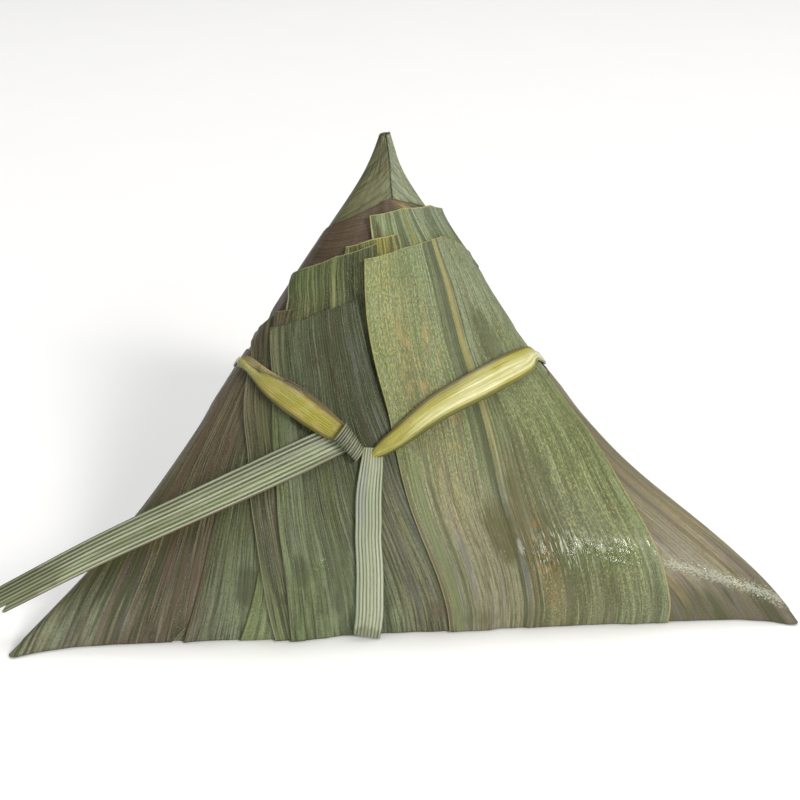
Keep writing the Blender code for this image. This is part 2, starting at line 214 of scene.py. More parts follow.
def buildInnerWrap():
    cols, baseRows, foot = wrapShape["cols"], wrapShape["baseRows"], wrapShape["footHeight"]
    t = np.linspace(0, 3, cols, endpoint=False)[None, :]
    levels = np.concatenate([np.linspace(foot, 4, wrapShape["footRows"]),
                             np.linspace(5, bodyHeight - 0.6, wrapShape["sideRows"])])[:, None]
    side, _ = onBody(t, levels, -0.02)
    rim, _ = onBody(t, np.full_like(t, foot), -0.25)
    shrink = (1 - np.linspace(1, 0, baseRows) ** 1.3)[:, None, None]
    base = rim * shrink + np.array(wrapShape["baseMiddle"]) * (1 - shrink)
    x, y = base[..., 0], base[..., 1]
    fold = smoothStep(-0.6, 0.6, y - 14 - 0.35 * x) + smoothStep(-0.6, 0.6, 6 - y - 0.5 * x)
    base[..., 2] = (0.12 + 0.14 * fold + 0.05 * ripple(x * 0.5, y * 0.12, 71)) * (1 - shrink[..., 0]) ** 0.15
    base[..., 2] = np.clip(base[..., 2], wrapShape["baseLow"], wrapShape["baseHigh"])
    tip = side[-1:].mean(1, keepdims=True)
    cap = tip + (side[-1:] - tip) * np.array([0.8, 0.5, 0.02])[:, None, None]
    cap[..., 2] = bodyHeight - np.array([0.35, 0.15, 0.08])[:, None]
    points = np.concatenate([base, side, cap])
    uv = np.zeros((len(points), cols, 2))
    uv[..., 0] = t / 3
    uv[..., 1] = points[..., 2] / bodyHeight
    uv[:baseRows, :, 0], uv[:baseRows, :, 1] = x / 300 + 0.5, y / bodyHeight + 0.3
    return makeMesh("innerWrap", points, gridFaces(len(points), cols, closed=True), uv)


# a sheet's thickness in mm, laid on its outer side (1) or its inner side (-1)
def thicken(piece, thick, side):
    shell = piece.modifiers.new("thickness", "SOLIDIFY")
    shell.thickness = thick * mm
    shell.offset = side


laid = []            # (points on the body, height of the upper face) of each leaf laid so far


# height that clears every leaf already laid within reach of each point
def restingLift(base, reach, clearance):
    flat = base.reshape(-1, 3).astype(np.float32)
    lift = np.zeros(len(flat), np.float32)
    low, high = flat.min(0) - reach, flat.max(0) + reach
    for spots, tops in laid:
        near = ((spots > low) & (spots < high)).all(1)
        if near.any():
            gap = ((flat[:, None, :] - spots[near][None, :, :]) ** 2).sum(2)
            lift = np.maximum(lift, np.where(gap < reach ** 2, tops[near][None, :], 0).max(1))
    return (lift + clearance).reshape(base.shape[:-1])


# a table read along rows and columns at fractional steps
def resample(table, rows, cols):
    r = np.linspace(0, table.shape[0] - 1, rows)
    c = np.linspace(0, table.shape[1] - 1, cols)
    i = np.minimum(r.astype(int), table.shape[0] - 2)
    j = np.minimum(c.astype(int), table.shape[1] - 2)
    f, g = (r - i)[:, None], (c - j)[None, :]
    f, g = f * f * (3 - 2 * f), g * g * (3 - 2 * g)
    a = table[np.ix_(i, j)] * (1 - f) + table[np.ix_(i + 1, j)] * f
    b = table[np.ix_(i, j + 1)] * (1 - f) + table[np.ix_(i + 1, j + 1)] * f
    return a * (1 - g) + b * g


# evenly spread (place, height) pairs along corner points, one unit of place counted as 60 mm
def edgeLine(points, at):
    pts = np.array(points, float)
    run = np.concatenate([[0.0], np.cumsum(np.hypot(np.diff(pts[:, 0]) * 60, np.diff(pts[:, 1])))])
    run /= run[-1]
    return np.stack([np.interp(at, run, pts[:, 0]), np.interp(at, run, pts[:, 1])], -1)


# an edge line eased where it bends, its two ends kept
def easedLine(points, at, passes):
    span = np.linspace(0, 1, 200)
    fine = averaged(edgeLine(points, span), passes)
    return np.stack([np.interp(at, span, fine[:, 0]), np.interp(at, span, fine[:, 1])], -1)


# a smooth curve through given values, read at evenly spread steps (Catmull-Rom)
def smoothRun(values, count):
    v = np.array(values, float)
    v = v.reshape(len(v), -1)
    pts = np.concatenate([[2 * v[0] - v[1]], v, [2 * v[-1] - v[-2]]])
    at = np.linspace(0, len(v) - 1 - 1e-6, count)
    i = at.astype(int)
    f = (at - i)[:, None]
    a, b, c, d = pts[i], pts[i + 1], pts[i + 2], pts[i + 3]
    out = b + 0.5 * f * (c - a + f * (2 * a - 5 * b + 4 * c - d + f * (3 * (b - c) + d - a)))
    return out[:, 0] if out.shape[1] == 1 else out


# where the columns lie across the leaf when the midrib wanders: each half is stretched evenly between
# its edge and the midrib, whose place across is a smooth curve through values from top to foot
def ribPlaces(spec, u, v):
    if not spec["midLine"]:
        return np.broadcast_to(u[None, :], (len(v), len(u))).copy()
    middle = smoothRun(spec["midLine"], 400)[np.round(v * 399).astype(int)][:, None]
    return np.where(u < 0.5, 2 * u * middle, middle + (2 * u - 1) * (1 - middle))


# places and heights of a cut leaf: a straight blend between its side edges, with the shaped upper end
# added in full at the top and fading down the leaf as (1-v)^3
def cutLeaf(spec, u, v):
    a = easedLine(spec["left"], v, spec["cutEasing"])[:, None, :]
    b = easedLine(spec["right"], v, spec["cutEasing"])[:, None, :]
    uu, vv = ribPlaces(spec, u, v)[..., None], v[:, None, None]
    plain = a * (1 - uu) + b * uu
    crest = edgeLine(spec["top"], uu[0, :, 0])[None, :, :] - plain[:1]
    grid = plain + crest * (1 - vv) ** 3
    return grid[..., 0], grid[..., 1]


# places and heights of a leaf bent round a corner: columns stand at one place from start to end, and rows
# run from its upper line to its lower line. An edge that meets the horn's seam leans with height
def wrappedLeaf(spec, u, v):
    t = spec["start"] + (spec["end"] - spec["start"]) * u
    span = np.linspace(0, 1, 200)
    high = easedLine(spec["upper"], span, spec["bentEasing"])
    low = easedLine(spec["lower"], span, spec["bentEasing"])
    zHigh = np.interp(t, high[:, 0], high[:, 1])
    zLow = np.interp(t, low[:, 0], low[:, 1])
    z = zHigh[None, :] * (1 - v[:, None]) + zLow[None, :] * v[:, None]
    t = np.broadcast_to(t[None, :], z.shape).copy()
    if "seam" in spec:
        side, pairs = spec["seam"]
        pairs = np.array(pairs, float)
        shift = np.interp(z, pairs[:, 0], pairs[:, 1])
        t = t + shift * (u[None, :] if side == "right" else 1 - u[None, :])
    return t, z


# every leaf starts from these, in mm: thick is its thickness, clear the gap below it and reach how far
# around it feels for what lies there; rise lifts its left, right and top edge, and a lift dies away over
# sideCurl or topCurl. A midrib is (place across, width, height), midLine the places across of one that
# wanders, from top to foot, and ridge a soft fold: its two (place, height) ends, width and height. Feet
# lower than footBelow stay at foot or above, and relief fades over reliefRim at the sides. coarse and felt
# are the grids on which leaves feel each other, easing rounds an outline's bends, and a leaf keeps most of
# its lift from one spot to the next, because it is too stiff to drop at once
leafDefaults = {"rows": 90, "cols": 120, "thick": 0.22, "clear": 0.06, "reach": 1.6, "rise": (0.0, 0.0, 0.0),
                "sideCurl": 2.2, "topCurl": 2.5, "curlAlong": lambda down: 1, "pleat": 0.045,
                "vein": 0.012, "veinGap": 0.60, "rag": 0.03, "seed": 1, "midrib": None, "midLine": None,
                "ridge": None, "foot": 0.10, "footBelow": 2.0, "coarse": 34, "felt": 60, "cutEasing": 60,
                "bentEasing": 30, "passes": 6, "keep": 0.98, "reliefRim": 1.2}


# lays a leaf: its grid follows the body, rests on what lies below, lifts at its free edges, and carries
# pleats, parallel veins, a midrib and a soft fold in its height
def layLeaf(name, settings):
    spec = {**leafDefaults, **settings}
    shape = wrappedLeaf if "start" in spec else cutLeaf
    coarse = np.linspace(0, 1, spec["coarse"])
    base, _ = onBody(*shape(spec, coarse, coarse))
    lift = restingLift(base, spec["reach"], spec["clear"])
    for _ in range(spec["passes"]):
        wide = np.pad(lift, 1, mode="edge")
        near = (wide[:-2, 1:-1] + wide[2:, 1:-1] + wide[1:-1, :-2] + wide[1:-1, 2:]) / 4
        lift = np.maximum(lift, near * spec["keep"])
    u, v = np.linspace(0, 1, spec["cols"]), np.linspace(0, 1, spec["rows"])
    t, z = shape(spec, u, v)
    if spec["rag"]:                                    # cut ends are never quite straight
        z = z + spec["rag"] * ripple(u[None, :] * 40, u[None, :] * 0, spec["seed"]) * (1 - v[:, None]) ** 6
    fine = resample(lift, spec["rows"], spec["cols"])
    flat, _ = onBody(t, z)
    across = np.linalg.norm(np.diff(flat, axis=1), axis=2).sum(1).mean()
    down = np.linalg.norm(np.diff(flat, axis=0), axis=2).sum(0).mean()
    uu, vv = np.broadcast_arrays(u[None, :], v[:, None])
    leftRise, rightRise, topRise = spec["rise"]
    curl = leftRise * np.exp(-uu * across / spec["sideCurl"])
    curl = curl + rightRise * np.exp(-(1 - uu) * across / spec["sideCurl"])
    curl = curl * spec["curlAlong"](vv) + topRise * np.exp(-vv * down / spec["topCurl"])
    wander = uu * across + 0.5 * ripple(uu * 3, vv * 4, spec["seed"] + 5)
    pleats = spec["pleat"] * ripple(wander * 1.5, vv * 2.0, spec["seed"] + 9)
    veins = spec["vein"] * np.sin(wander * fullTurn / spec["veinGap"])
    relief = (pleats + veins) * smoothStep(0, spec["reliefRim"], np.minimum(uu, 1 - uu) * across)
    if spec["midrib"]:
        at, width, tall = spec["midrib"]
        relief = relief + tall * np.exp(-(((uu - at) * across) / width) ** 2)
    if spec["ridge"]:            # a soft fold, straight from one (place, height) to another
        (t0, z0), (t1, z1), width, tall = spec["ridge"]
        crease = z0 + (z1 - z0) * (t - t0) / (t1 - t0)
        ends = smoothStep(t0, t0 + 0.03, t) * smoothStep(t1, t1 - 0.025, t)
        relief = relief + tall * np.exp(-((z - crease) / width) ** 2) * ends
    verts, _ = onBody(t, z, fine + np.maximum(curl, 0) + relief + spec["pleat"] * 0.6)
    low = z < spec["footBelow"]                        # feet stay above the base plane
    verts[..., 2] = np.where(low, np.maximum(z, spec["foot"]), verts[..., 2])
    piece = makeMesh(name, verts, gridFaces(spec["rows"], spec["cols"]), np.stack([uu, 1 - vv], -1))
    thicken(piece, spec["thick"], 1.0)
    felt = spec["felt"]
    spots, _ = onBody(resample(t, felt, felt), resample(z, felt, felt))
    tops = resample(fine, felt, felt) + spec["thick"] + spec["pleat"]
    laid.append((spots.reshape(-1, 3).astype(np.float32), tops.reshape(-1).astype(np.float32)))
    piece["leafSize"] = [float(across), float(down)]
    print(name, "across", round(across, 1), "down", round(down, 1))
    return piece


floorLine = ((-3.0, 0.25), (6.0, 0.25))
hornSeam = ((60, 0.0), (66, 0.08), (70, 0.22), (73, 0.30))   # (height, how far the seam leans to the right)
leaves = {
    "hornLeftLeaf": ("leaf_horn_left", "leaf_olive", {
        "start": -1.10, "end": 0.63, "seam": ("right", hornSeam), "upper": ((-1.1, 72.6), (0.6, 72.6)),
        "lower": ((-1.1, 19.0), (-0.55, 17.0), (0.0, 36.0), (0.585, 44.0)), "cols": 160, "rows": 110,
        "pleat": 0.05, "vein": 0.02, "rag": 0}),
    "hornRightLeaf": ("leaf_horn_right", "leaf_grey_green", {
        "start": 0.60, "end": 1.955, "seam": ("left", hornSeam), "upper": ((0.6, 72.6), (2.0, 72.6)),
        "lower": ((0.605, 44.0), (1.0, 36.0), (1.55, 17.0), (1.955, 19.0)), "cols": 160, "rows": 110,
        "pleat": 0.05, "vein": 0.02, "rag": 0}),
    "hornCollarLeaf": ("leaf_horn_collar", "leaf_brown", {
        "start": -0.45, "end": 1.30,
        "upper": ((-0.45, 54.0), (0.0, 59.0), (0.44, 62.3), (0.61, 62.9), (1.05, 61.2), (1.30, 58.0)),
        "lower": ((-0.45, 46.0), (0.0, 43.0), (0.6, 47.0), (1.0, 43.0), (1.30, 46.0)),
        "pleat": 0.04, "rag": 0}),
    "leftCornerLeaf": ("leaf_left_corner", "leaf_brown", {
        "start": -0.64, "end": 0.20, "upper": ((-0.64, 24.0), (-0.3, 35.0), (0.0, 41.0), (0.20, 38.0)),
        "lower": floorLine, "cols": 260, "rag": 0.05}),
    "rightCornerLeaf": ("leaf_right_corner", "leaf_brown", {
        "start": 0.80, "end": 1.64, "upper": ((0.80, 32.0), (1.0, 35.5), (1.3, 33.0), (1.64, 24.0)),
        "lower": floorLine, "cols": 260, "rows": 130, "rag": 0.05, "thick": 0.18, "clear": 0.03,
        "ridge": ((0.905, 11.0), (1.0, 2.6), 3.0, 0.65)}),
    "backCornerLeaf": ("leaf_back_corner", "leaf_olive", {
        "start": 1.46, "end": 2.54,
        "upper": ((1.46, 15.0), (1.7, 21.0), (2.0, 27.0), (2.3, 21.0), (2.54, 15.0)),
        "lower": floorLine, "cols": 260, "rows": 60, "rag": 0.05}),
    "leftInnerLeaf": ("leaf_left_inner", "leaf_green", {
        "left": ((0.09, 33.5), (0.14, 20.5), (0.18, 9.5), (0.215, 0.25)),
        "right": ((0.17, 34.0), (0.25, 20.0), (0.33, 0.25)),
        "top": ((0.09, 33.5), (0.13, 34.2), (0.17, 34.0))}),
    "upperRightLeaf": ("leaf_upper_right", "leaf_grey_green", {
        "left": ((0.345, 60.0), (0.39, 57.0), (0.40, 51.0)),
        "right": ((1.185, 59.0), (1.16, 50.0)),
        "top": ((0.345, 60.0), (0.70, 61.0), (1.02, 60.7), (1.185, 59.0)),
        "rows": 50, "rise": (0.3, 0.8, 0.8)}),
    "upperSliverLeaf": ("leaf_upper_sliver", "leaf_brown", {
        "left": ((-0.04, 52.0), (0.08, 45.0)), "right": ((0.16, 54.5), (0.22, 46.0)),
        "top": ((-0.04, 52.0), (0.16, 54.5)), "rows": 40, "cols": 50}),
    "upperTabLeaf": ("leaf_upper_tab", "leaf_olive", {
        "left": ((0.20, 55.7), (0.25, 51.0)), "right": ((0.59, 57.3), (0.62, 51.0)),
        "top": ((0.20, 55.7), (0.41, 56.8), (0.59, 57.3)), "rows": 40, "cols": 60, "rise": (0, 0.2, 0.3)}),
    "upperLeftLeaf": ("leaf_upper_left", "leaf_green", {
        "left": ((-0.10, 50.0), (0.0, 48.0), (0.13, 41.0)),
        "right": ((0.43, 56.0), (0.45, 51.0), (0.50, 40.0)),
        "top": ((-0.10, 50.0), (0.0, 52.0), (0.15, 54.0), (0.43, 56.0)),
        "rows": 60, "rise": (0.2, 0, 0.4)}),
    "gussetLeaf": ("leaf_gusset", "leaf_green", {
        "left": ((0.25, 14.0), (0.285, 0.25)), "right": ((0.285, 14.0), (0.325, 9.0), (0.37, 0.25)),
        "top": ((0.25, 14.0), (0.285, 14.0)), "rows": 50, "cols": 60}),
    "leftStripLeaf": ("leaf_left_strip", "leaf_brown", {
        "left": ((-0.12, 41.0), (0.0, 40.0), (0.15, 28.0), (0.225, 18.5), (0.33, 0.25)),
        "right": ((0.06, 46.5), (0.10, 43.0), (0.25, 28.0), (0.39, 0.25)),
        "top": ((-0.12, 41.0), (-0.02, 45.5), (0.06, 46.5)), "cols": 60, "rise": (0.25, 0, 0.2)}),
    "frontLeftLeaf": ("leaf_front_left", "leaf_olive", {
        "left": ((0.03, 43.5), (0.14, 36.5), (0.235, 25.0), (0.285, 15.0), (0.35, 0.25)),
        "right": ((0.35, 48.5), (0.41, 43.0), (0.51, 30.0), (0.55, 20.0), (0.59, 0.25)),
        "top": ((0.03, 43.5), (0.185, 46.5), (0.35, 48.5)),
        "cols": 200, "rows": 120, "rise": (0.3, 0, 0.3)}),
    "frontRightLeaf": ("leaf_front_right", "leaf_green", {
        "left": ((0.36, 53.5), (0.40, 46.0), (0.485, 34.0), (0.515, 20.0), (0.55, 0.25)),
        "right": ((1.18, 52.0), (1.03, 41.0), (1.0, 29.0), (0.92, 17.5), (0.86, 8.0), (0.832, 0.25)),
        "top": ((0.36, 53.5), (0.60, 55.2), (0.93, 56.4), (1.06, 55.0), (1.18, 52.0)),
        "cols": 300, "rows": 160, "rise": (0.9, 0.15, 0.5), "midrib": (0.5, 0.6, 0.10),
        "curlAlong": lambda down: 1 - 0.85 * smoothStep(0.22, 0.50, down),
        "midLine": (0.60, 0.56, 0.47, 0.40, 0.36)}),
}


# materials

# the colours of cooked bamboo leaf that the looks below are mixed from
# some of these also stand in for light: silver and the cream colour for painted highlights, and the stain
# colour also for painted shade on the tie
leafColours = {
    "ink": "#24280f", "deepOlive": "#363b1d", "darkOlive": "#444826", "olive": "#545832", "moss": "#5d6738",
    "leafGreen": "#6a7648", "freshGreen": "#788452", "greyGreen": "#768061", "blueGreen": "#86917a",
    "paleGreen": "#a3ab86", "yellowGreen": "#8b8f58", "khaki": "#74714f", "putty": "#8b8568",
    "straw": "#b2ab62", "tan": "#a88f58", "rust": "#a5652f", "brown": "#554431", "darkBrown": "#3a2c18",
    "umber": "#4e442c", "taupe": "#655d49", "mauve": "#6e6670", "slate": "#77777f", "stain": "#4d4a1c",
    "brass": "#87802c", "lime": "#938f38", "butter": "#bcb76a", "silver": "#c6cab4",
    "silverGreen": "#999d80", "furrow": "#4c5330", "cream": "#dddaab",
}


# 1 inside a box of leaf coordinates (left, right, foot, top), easing to 0 across its rim
def softBox(tree, u, v, box, ease):
    mask = 1.0
    for socket, low, high in ((u, box[0], box[1]), (v, box[2], box[3])):
        for start, end in ((low - ease, low + ease), (high + ease, high - ease)):
            step = add(tree, "MapRange", {"Value": socket, "From Min": start, "From Max": end},
                       interpolation_type="SMOOTHSTEP")
            mask = add(tree, "Math", {0: mask, 1: step}, operation="MULTIPLY")
    return mask


# noise drawn out along the fibres: size is (across, along) in mm
def fibreNoise(tree, place, size, seed):
    drawn = add(tree, "Mapping", {"Vector": place, "Location": (seed * 3.71, seed * 5.37, seed * 1.9),
                                  "Scale": (1 / size[0], 1 / size[1], 1)})
    return add(tree, "TexNoise", {"Vector": drawn, "Scale": 1.0, "Detail": 2.0, "Roughness": 0.6})


# one layer of threads, streaks or grit, or of painted highlight streaks: noise of a grain (mm across, mm
# along the fibres) between the two limits of span, tinted by amount. A box of leaf coordinates with an eased
# rim holds it to one place, and rise is how far it stands up, in mm
def layer(tint, amount, grain, span, box=None, ease=0.05, rise=0.0):
    return tint, amount, grain, span, box, ease, rise


# a stained patch, a blotch, a wet place or a painted highlight: an oval of a size in mm at a point, or a
# streak from there to a second point, whose rim is broken by noise of a grain (mm), by ragged, and is soft
# wide
def spot(at, size, tint=None, amount=0.0, wet=0.0, to=None, grain=(1.2, 3.5), ragged=1.2, soft=0.5):
    return at, size, tint, amount, wet, to, grain, ragged, soft


# every skin starts from these: lean turns the fibres away from the leaf's length, wobble lets them wander
# (mm), streaky smears the cross colours along the fibres, torn lets the bands' borders wander up and down
# it, and veins stand about 0.6 mm apart. ribs are their count, the colours of groove and rib, how strong
# those are, and where on a rib the pale crest starts
leafLook = {"lean": 0.0, "wobble": 0.12, "streaky": 0.05, "veinPitch": 0.60, "vein": 0.16,
            "dark": "deepOlive", "pale": "paleGreen", "fibre": 0.65, "shine": 0.38, "streak": 0.60,
            "mottle": 0.30, "mottleTint": "umber", "grit": 0.42, "rough": (0.40, 0.56), "layers": (),
            "lines": (), "edges": {}, "spots": (), "ribs": None, "drops": (0.9, 1.6), "torn": 0.3, "seed": 0}


# cooked bamboo leaf: a thin waxy skin over long parallel fibres. The eye sees fine dark and pale threads
# a quarter of a millimetre wide, broader streaks of older green, a satin gleam that the fibres break
# into lines, a pale cut edge, and a mirror-like gleam where the leaf is still wet
def leafSkin(name, settings, size):
    look = {**leafLook, **settings}
    seed, dark, pale = look["seed"], look["dark"], look["pale"]
    across, down = size
    material = bpy.data.materials.new(name)
    material.use_nodes = True
    tree = material.node_tree
    shader = tree.nodes["Principled BSDF"]
    uv = add(tree, "UVMap", uv_map="leafMap")
    u, v, _ = add(tree, "SeparateXYZ", {0: uv}).outputs
    flat = add(tree, "VectorMath", {0: uv, 1: (across, down, 1)}, operation="MULTIPLY")
    turned = add(tree, "VectorRotate", {"Vector": flat, "Angle": math.radians(look["lean"])},
                 rotation_type="Z_AXIS")
    drift = add(tree, "Mapping", {"Vector": turned, "Location": (seed, seed, 0), "Scale": (0.10, 0.05, 1)})
    bend = add(tree, "TexNoise", {"Vector": drift, "Scale": 1.0, "Detail": 1.0}).outputs[1]
    place = add(tree, "VectorMath", {0: bend, 1: (look["wobble"] * 4, 0, 0), 2: turned},
                operation="MULTIPLY_ADD")

    # the ground colour: from the top of the leaf to its foot, bands of colours across it
    smear = fibreNoise(tree, place, (0.55, 26), seed + 1)
    spread = add(tree, "Math", {0: smear, 1: look["streaky"] * 2, 2: u}, operation="MULTIPLY_ADD")
    ragged = fibreNoise(tree, place, (1.0, 8), seed + 2)
    level = add(tree, "Math", {0: ragged, 1: look["torn"], 2: v}, operation="MULTIPLY_ADD")
    half = look["torn"] / 2
    colour = above = None
    for at, stops in look["ground"].items():
        band = add(tree, "ValToRGB", {0: spread})
        elements = band.color_ramp.elements
        while len(elements) < len(stops):
            elements.new(0.5)
        for element, stop in zip(elements, stops):
            element.position = min(max(stop + look["streaky"], 0.0), 1.0)
        for element, tint in zip(elements, stops.values()):
            element.color = linear(leafColours[tint])
        if colour:
            step = add(tree, "MapRange", {"Value": level, "From Min": above + half, "From Max": at + half},
                       interpolation_type="SMOOTHSTEP")
            band = add(tree, "Mix", {0: step, 6: colour, 7: band}, data_type="RGBA").outputs[2]
        colour, above = band, at

    # threads, streaks and grit in layers, and painted highlight streaks on some leaves. tints gathers what
    # is laid
    # over the ground, in order: a colour, where it is, and how strong
    tints, height = [], 0.0
    common = (layer(dark, look["streak"], (1.5, 45), (0.50, 0.66), rise=-0.010),
              layer(look["mottleTint"], look["mottle"], (3.0, 6.0), (0.52, 0.68)),
              layer(dark, look["fibre"], (0.24, 12), (0.49, 0.62), rise=-0.016),
              layer(dark, look["fibre"] * 0.6, (0.6, 26), (0.51, 0.60)),
              layer(pale, look["shine"], (0.24, 16), (0.52, 0.64), rise=0.012),
              layer(dark, look["grit"], (0.17, 0.40), (0.49, 0.66)),
              layer(pale, look["grit"] * 0.8, (0.16, 0.34), (0.52, 0.68), rise=0.006))
    for k, (tint, amount, grain, (low, high), box, ease, rise) in enumerate(common + look["layers"]):
        noise = fibreNoise(tree, place, grain, seed + 3 + k * 1.3)
        mask = add(tree, "MapRange", {"Value": noise, "From Min": low, "From Max": high},
                   interpolation_type="SMOOTHSTEP")
        if box:
            inside = softBox(tree, u, v, box, ease)
            mask = add(tree, "Math", {0: mask, 1: inside}, operation="MULTIPLY")
        tints.append((tint, mask, amount))
        if rise:
            height = add(tree, "Math", {0: mask, 1: rise, 2: height}, operation="MULTIPLY_ADD")

    # lines that run down the leaf, such as the midrib: strongest at their middle, faded out at their width
    for at, width, tint, strength, foot, top in look["lines"]:
        gap = add(tree, "Math", {0: u, 1: at}, operation="SUBTRACT")
        gap = add(tree, "Math", {0: gap}, operation="ABSOLUTE")
        line = add(tree, "MapRange", {"Value": gap, "From Min": width / 2 / across,
                                      "From Max": 0.2 * width / across}, interpolation_type="SMOOTHSTEP")
        inside = softBox(tree, u, v, (-1, 2, foot, top), 0.08)
        tints.append((tint, add(tree, "Math", {0: line, 1: inside}, operation="MULTIPLY"), strength))

    # ribs of a strip: |sin| across it to the power 0.7, as its mesh has them
    if look["ribs"]:
        count, grooveTint, ribTint, strength, crest = look["ribs"]
        wave = add(tree, "Math", {0: u, 1: math.pi * count}, operation="MULTIPLY")
        wave = add(tree, "Math", {0: wave}, operation="SINE")
        wave = add(tree, "Math", {0: wave}, operation="ABSOLUTE")
        rib = add(tree, "Math", {0: wave, 1: 0.7}, operation="POWER")
        uneven = fibreNoise(tree, place, (0.45, 60), seed + 20)
        for start, end, tint in ((0.62, 0.15, grooveTint), (crest, 1.0, ribTint)):
            mask = add(tree, "MapRange", {"Value": rib, "From Min": start, "From Max": end,
                                          "To Max": strength * 2})
            mask = add(tree, "Math", {0: mask, 1: uneven}, operation="MULTIPLY", use_clamp=True)
            tints.append((tint, mask, 1.0))

    # parallel veins, a sine across the fibres
    cross = add(tree, "SeparateXYZ", {0: place})
    wave = add(tree, "Math", {0: cross, 1: fullTurn / look["veinPitch"]}, operation="MULTIPLY")
    wave = add(tree, "Math", {0: wave}, operation="SINE")
    groove = add(tree, "MapRange", {"Value": wave, "From Min": 0.1, "From Max": 1.0})
    broken = add(tree, "Math", {0: groove, 1: smear}, operation="MULTIPLY")
    tints.append((dark, broken, look["vein"] * 2))
    height = add(tree, "Math", {0: broken, 1: -0.03, 2: height}, operation="MULTIPLY_ADD")

    # spots: the distance from the point, or from the line to the second point, in units of the size
    wetness = None
    for at, (spotWide, spotTall), tint, amount, wet, to, grain, torn, soft in look["spots"]:
        wide, tall = across / spotWide, down / spotTall
        offset = add(tree, "VectorMath", {0: uv, 1: (*at, 0)}, operation="SUBTRACT")
        offset = add(tree, "VectorMath", {0: offset, 1: (wide, tall, 0)}, operation="MULTIPLY")
        if to:
            run = ((to[0] - at[0]) * wide, (to[1] - at[1]) * tall, 0)
            share = add(tree, "VectorMath", {0: offset, 1: run}, operation="DOT_PRODUCT").outputs[1]
            share = add(tree, "Math", {0: share, 1: run[0] ** 2 + run[1] ** 2}, operation="DIVIDE",
                        use_clamp=True)
            along = add(tree, "VectorMath", {0: run, "Scale": share}, operation="SCALE")
            offset = add(tree, "VectorMath", {0: offset, 1: along}, operation="SUBTRACT")
        length = add(tree, "VectorMath", {0: offset}, operation="LENGTH").outputs[1]
        rim = fibreNoise(tree, place, grain, seed + 31 + at[0] * 7)
        length = add(tree, "Math", {0: rim, 1: torn, 2: length}, operation="MULTIPLY_ADD")
        outer = 1.0 + torn / 2
        mask = add(tree, "MapRange", {"Value": length, "From Min": outer, "From Max": outer - soft},
                   interpolation_type="SMOOTHSTEP")
        if tint:
            tints.append((tint, mask, amount))
        if wet:
            film = add(tree, "Math", {0: mask, 1: wet}, operation="MULTIPLY")
            wetness = add(tree, "Math", {0: wetness, 1: film}, operation="MAXIMUM") if wetness else film

    # thin lines along edges: cut edges of the leaves, and painted shade along the borders of the tie strip
    for side, (width, tint, strength) in look["edges"].items():
        socket, length = (v, down) if side == "top" else (u, across)
        if side == "left":
            gap = add(tree, "Math", {0: socket, 1: length}, operation="MULTIPLY")
        else:
            gap = add(tree, "Math", {0: socket, 1: -length, 2: length}, operation="MULTIPLY_ADD")
        line = add(tree, "MapRange", {"Value": gap, "From Min": width, "From Max": width * 0.5},
                   interpolation_type="SMOOTHSTEP")
        tints.append((tint, line, strength))
    for tint, mask, strength in tints:
        amount = add(tree, "Math", {0: mask, 1: strength}, operation="MULTIPLY")
        colour = add(tree, "Mix", {0: amount, 6: colour, 7: linear(leafColours[tint])},
                     data_type="RGBA").outputs[2]

    smoothest, dullest = look["rough"]
    satin = add(tree, "MapRange", {"Value": ragged, "From Min": 0.3, "From Max": 0.7, "To Min": smoothest,
                                   "To Max": dullest})
    if wetness:
        drops = fibreNoise(tree, place, look["drops"], seed + 40)
        film = add(tree, "MapRange", {"Value": drops, "From Min": 0.44, "From Max": 0.54},
                   interpolation_type="SMOOTHSTEP")
        film = add(tree, "Math", {0: film, 1: wetness}, operation="MULTIPLY")
        satin = add(tree, "Mix", {0: film, 2: satin, 3: 0.06})
        height = add(tree, "Math", {0: film, 1: 0.032, 2: height}, operation="MULTIPLY_ADD")
    bump = add(tree, "Bump", {"Height": height, "Distance": 0.001, "Strength": 1.0})
    for key, value in (("Base Color", colour), ("Roughness", satin.outputs[0]), ("Normal", bump.outputs[0])):
        tree.links.new(value, shader.inputs[key])
    shader.inputs["IOR"].default_value = 1.43
    return material


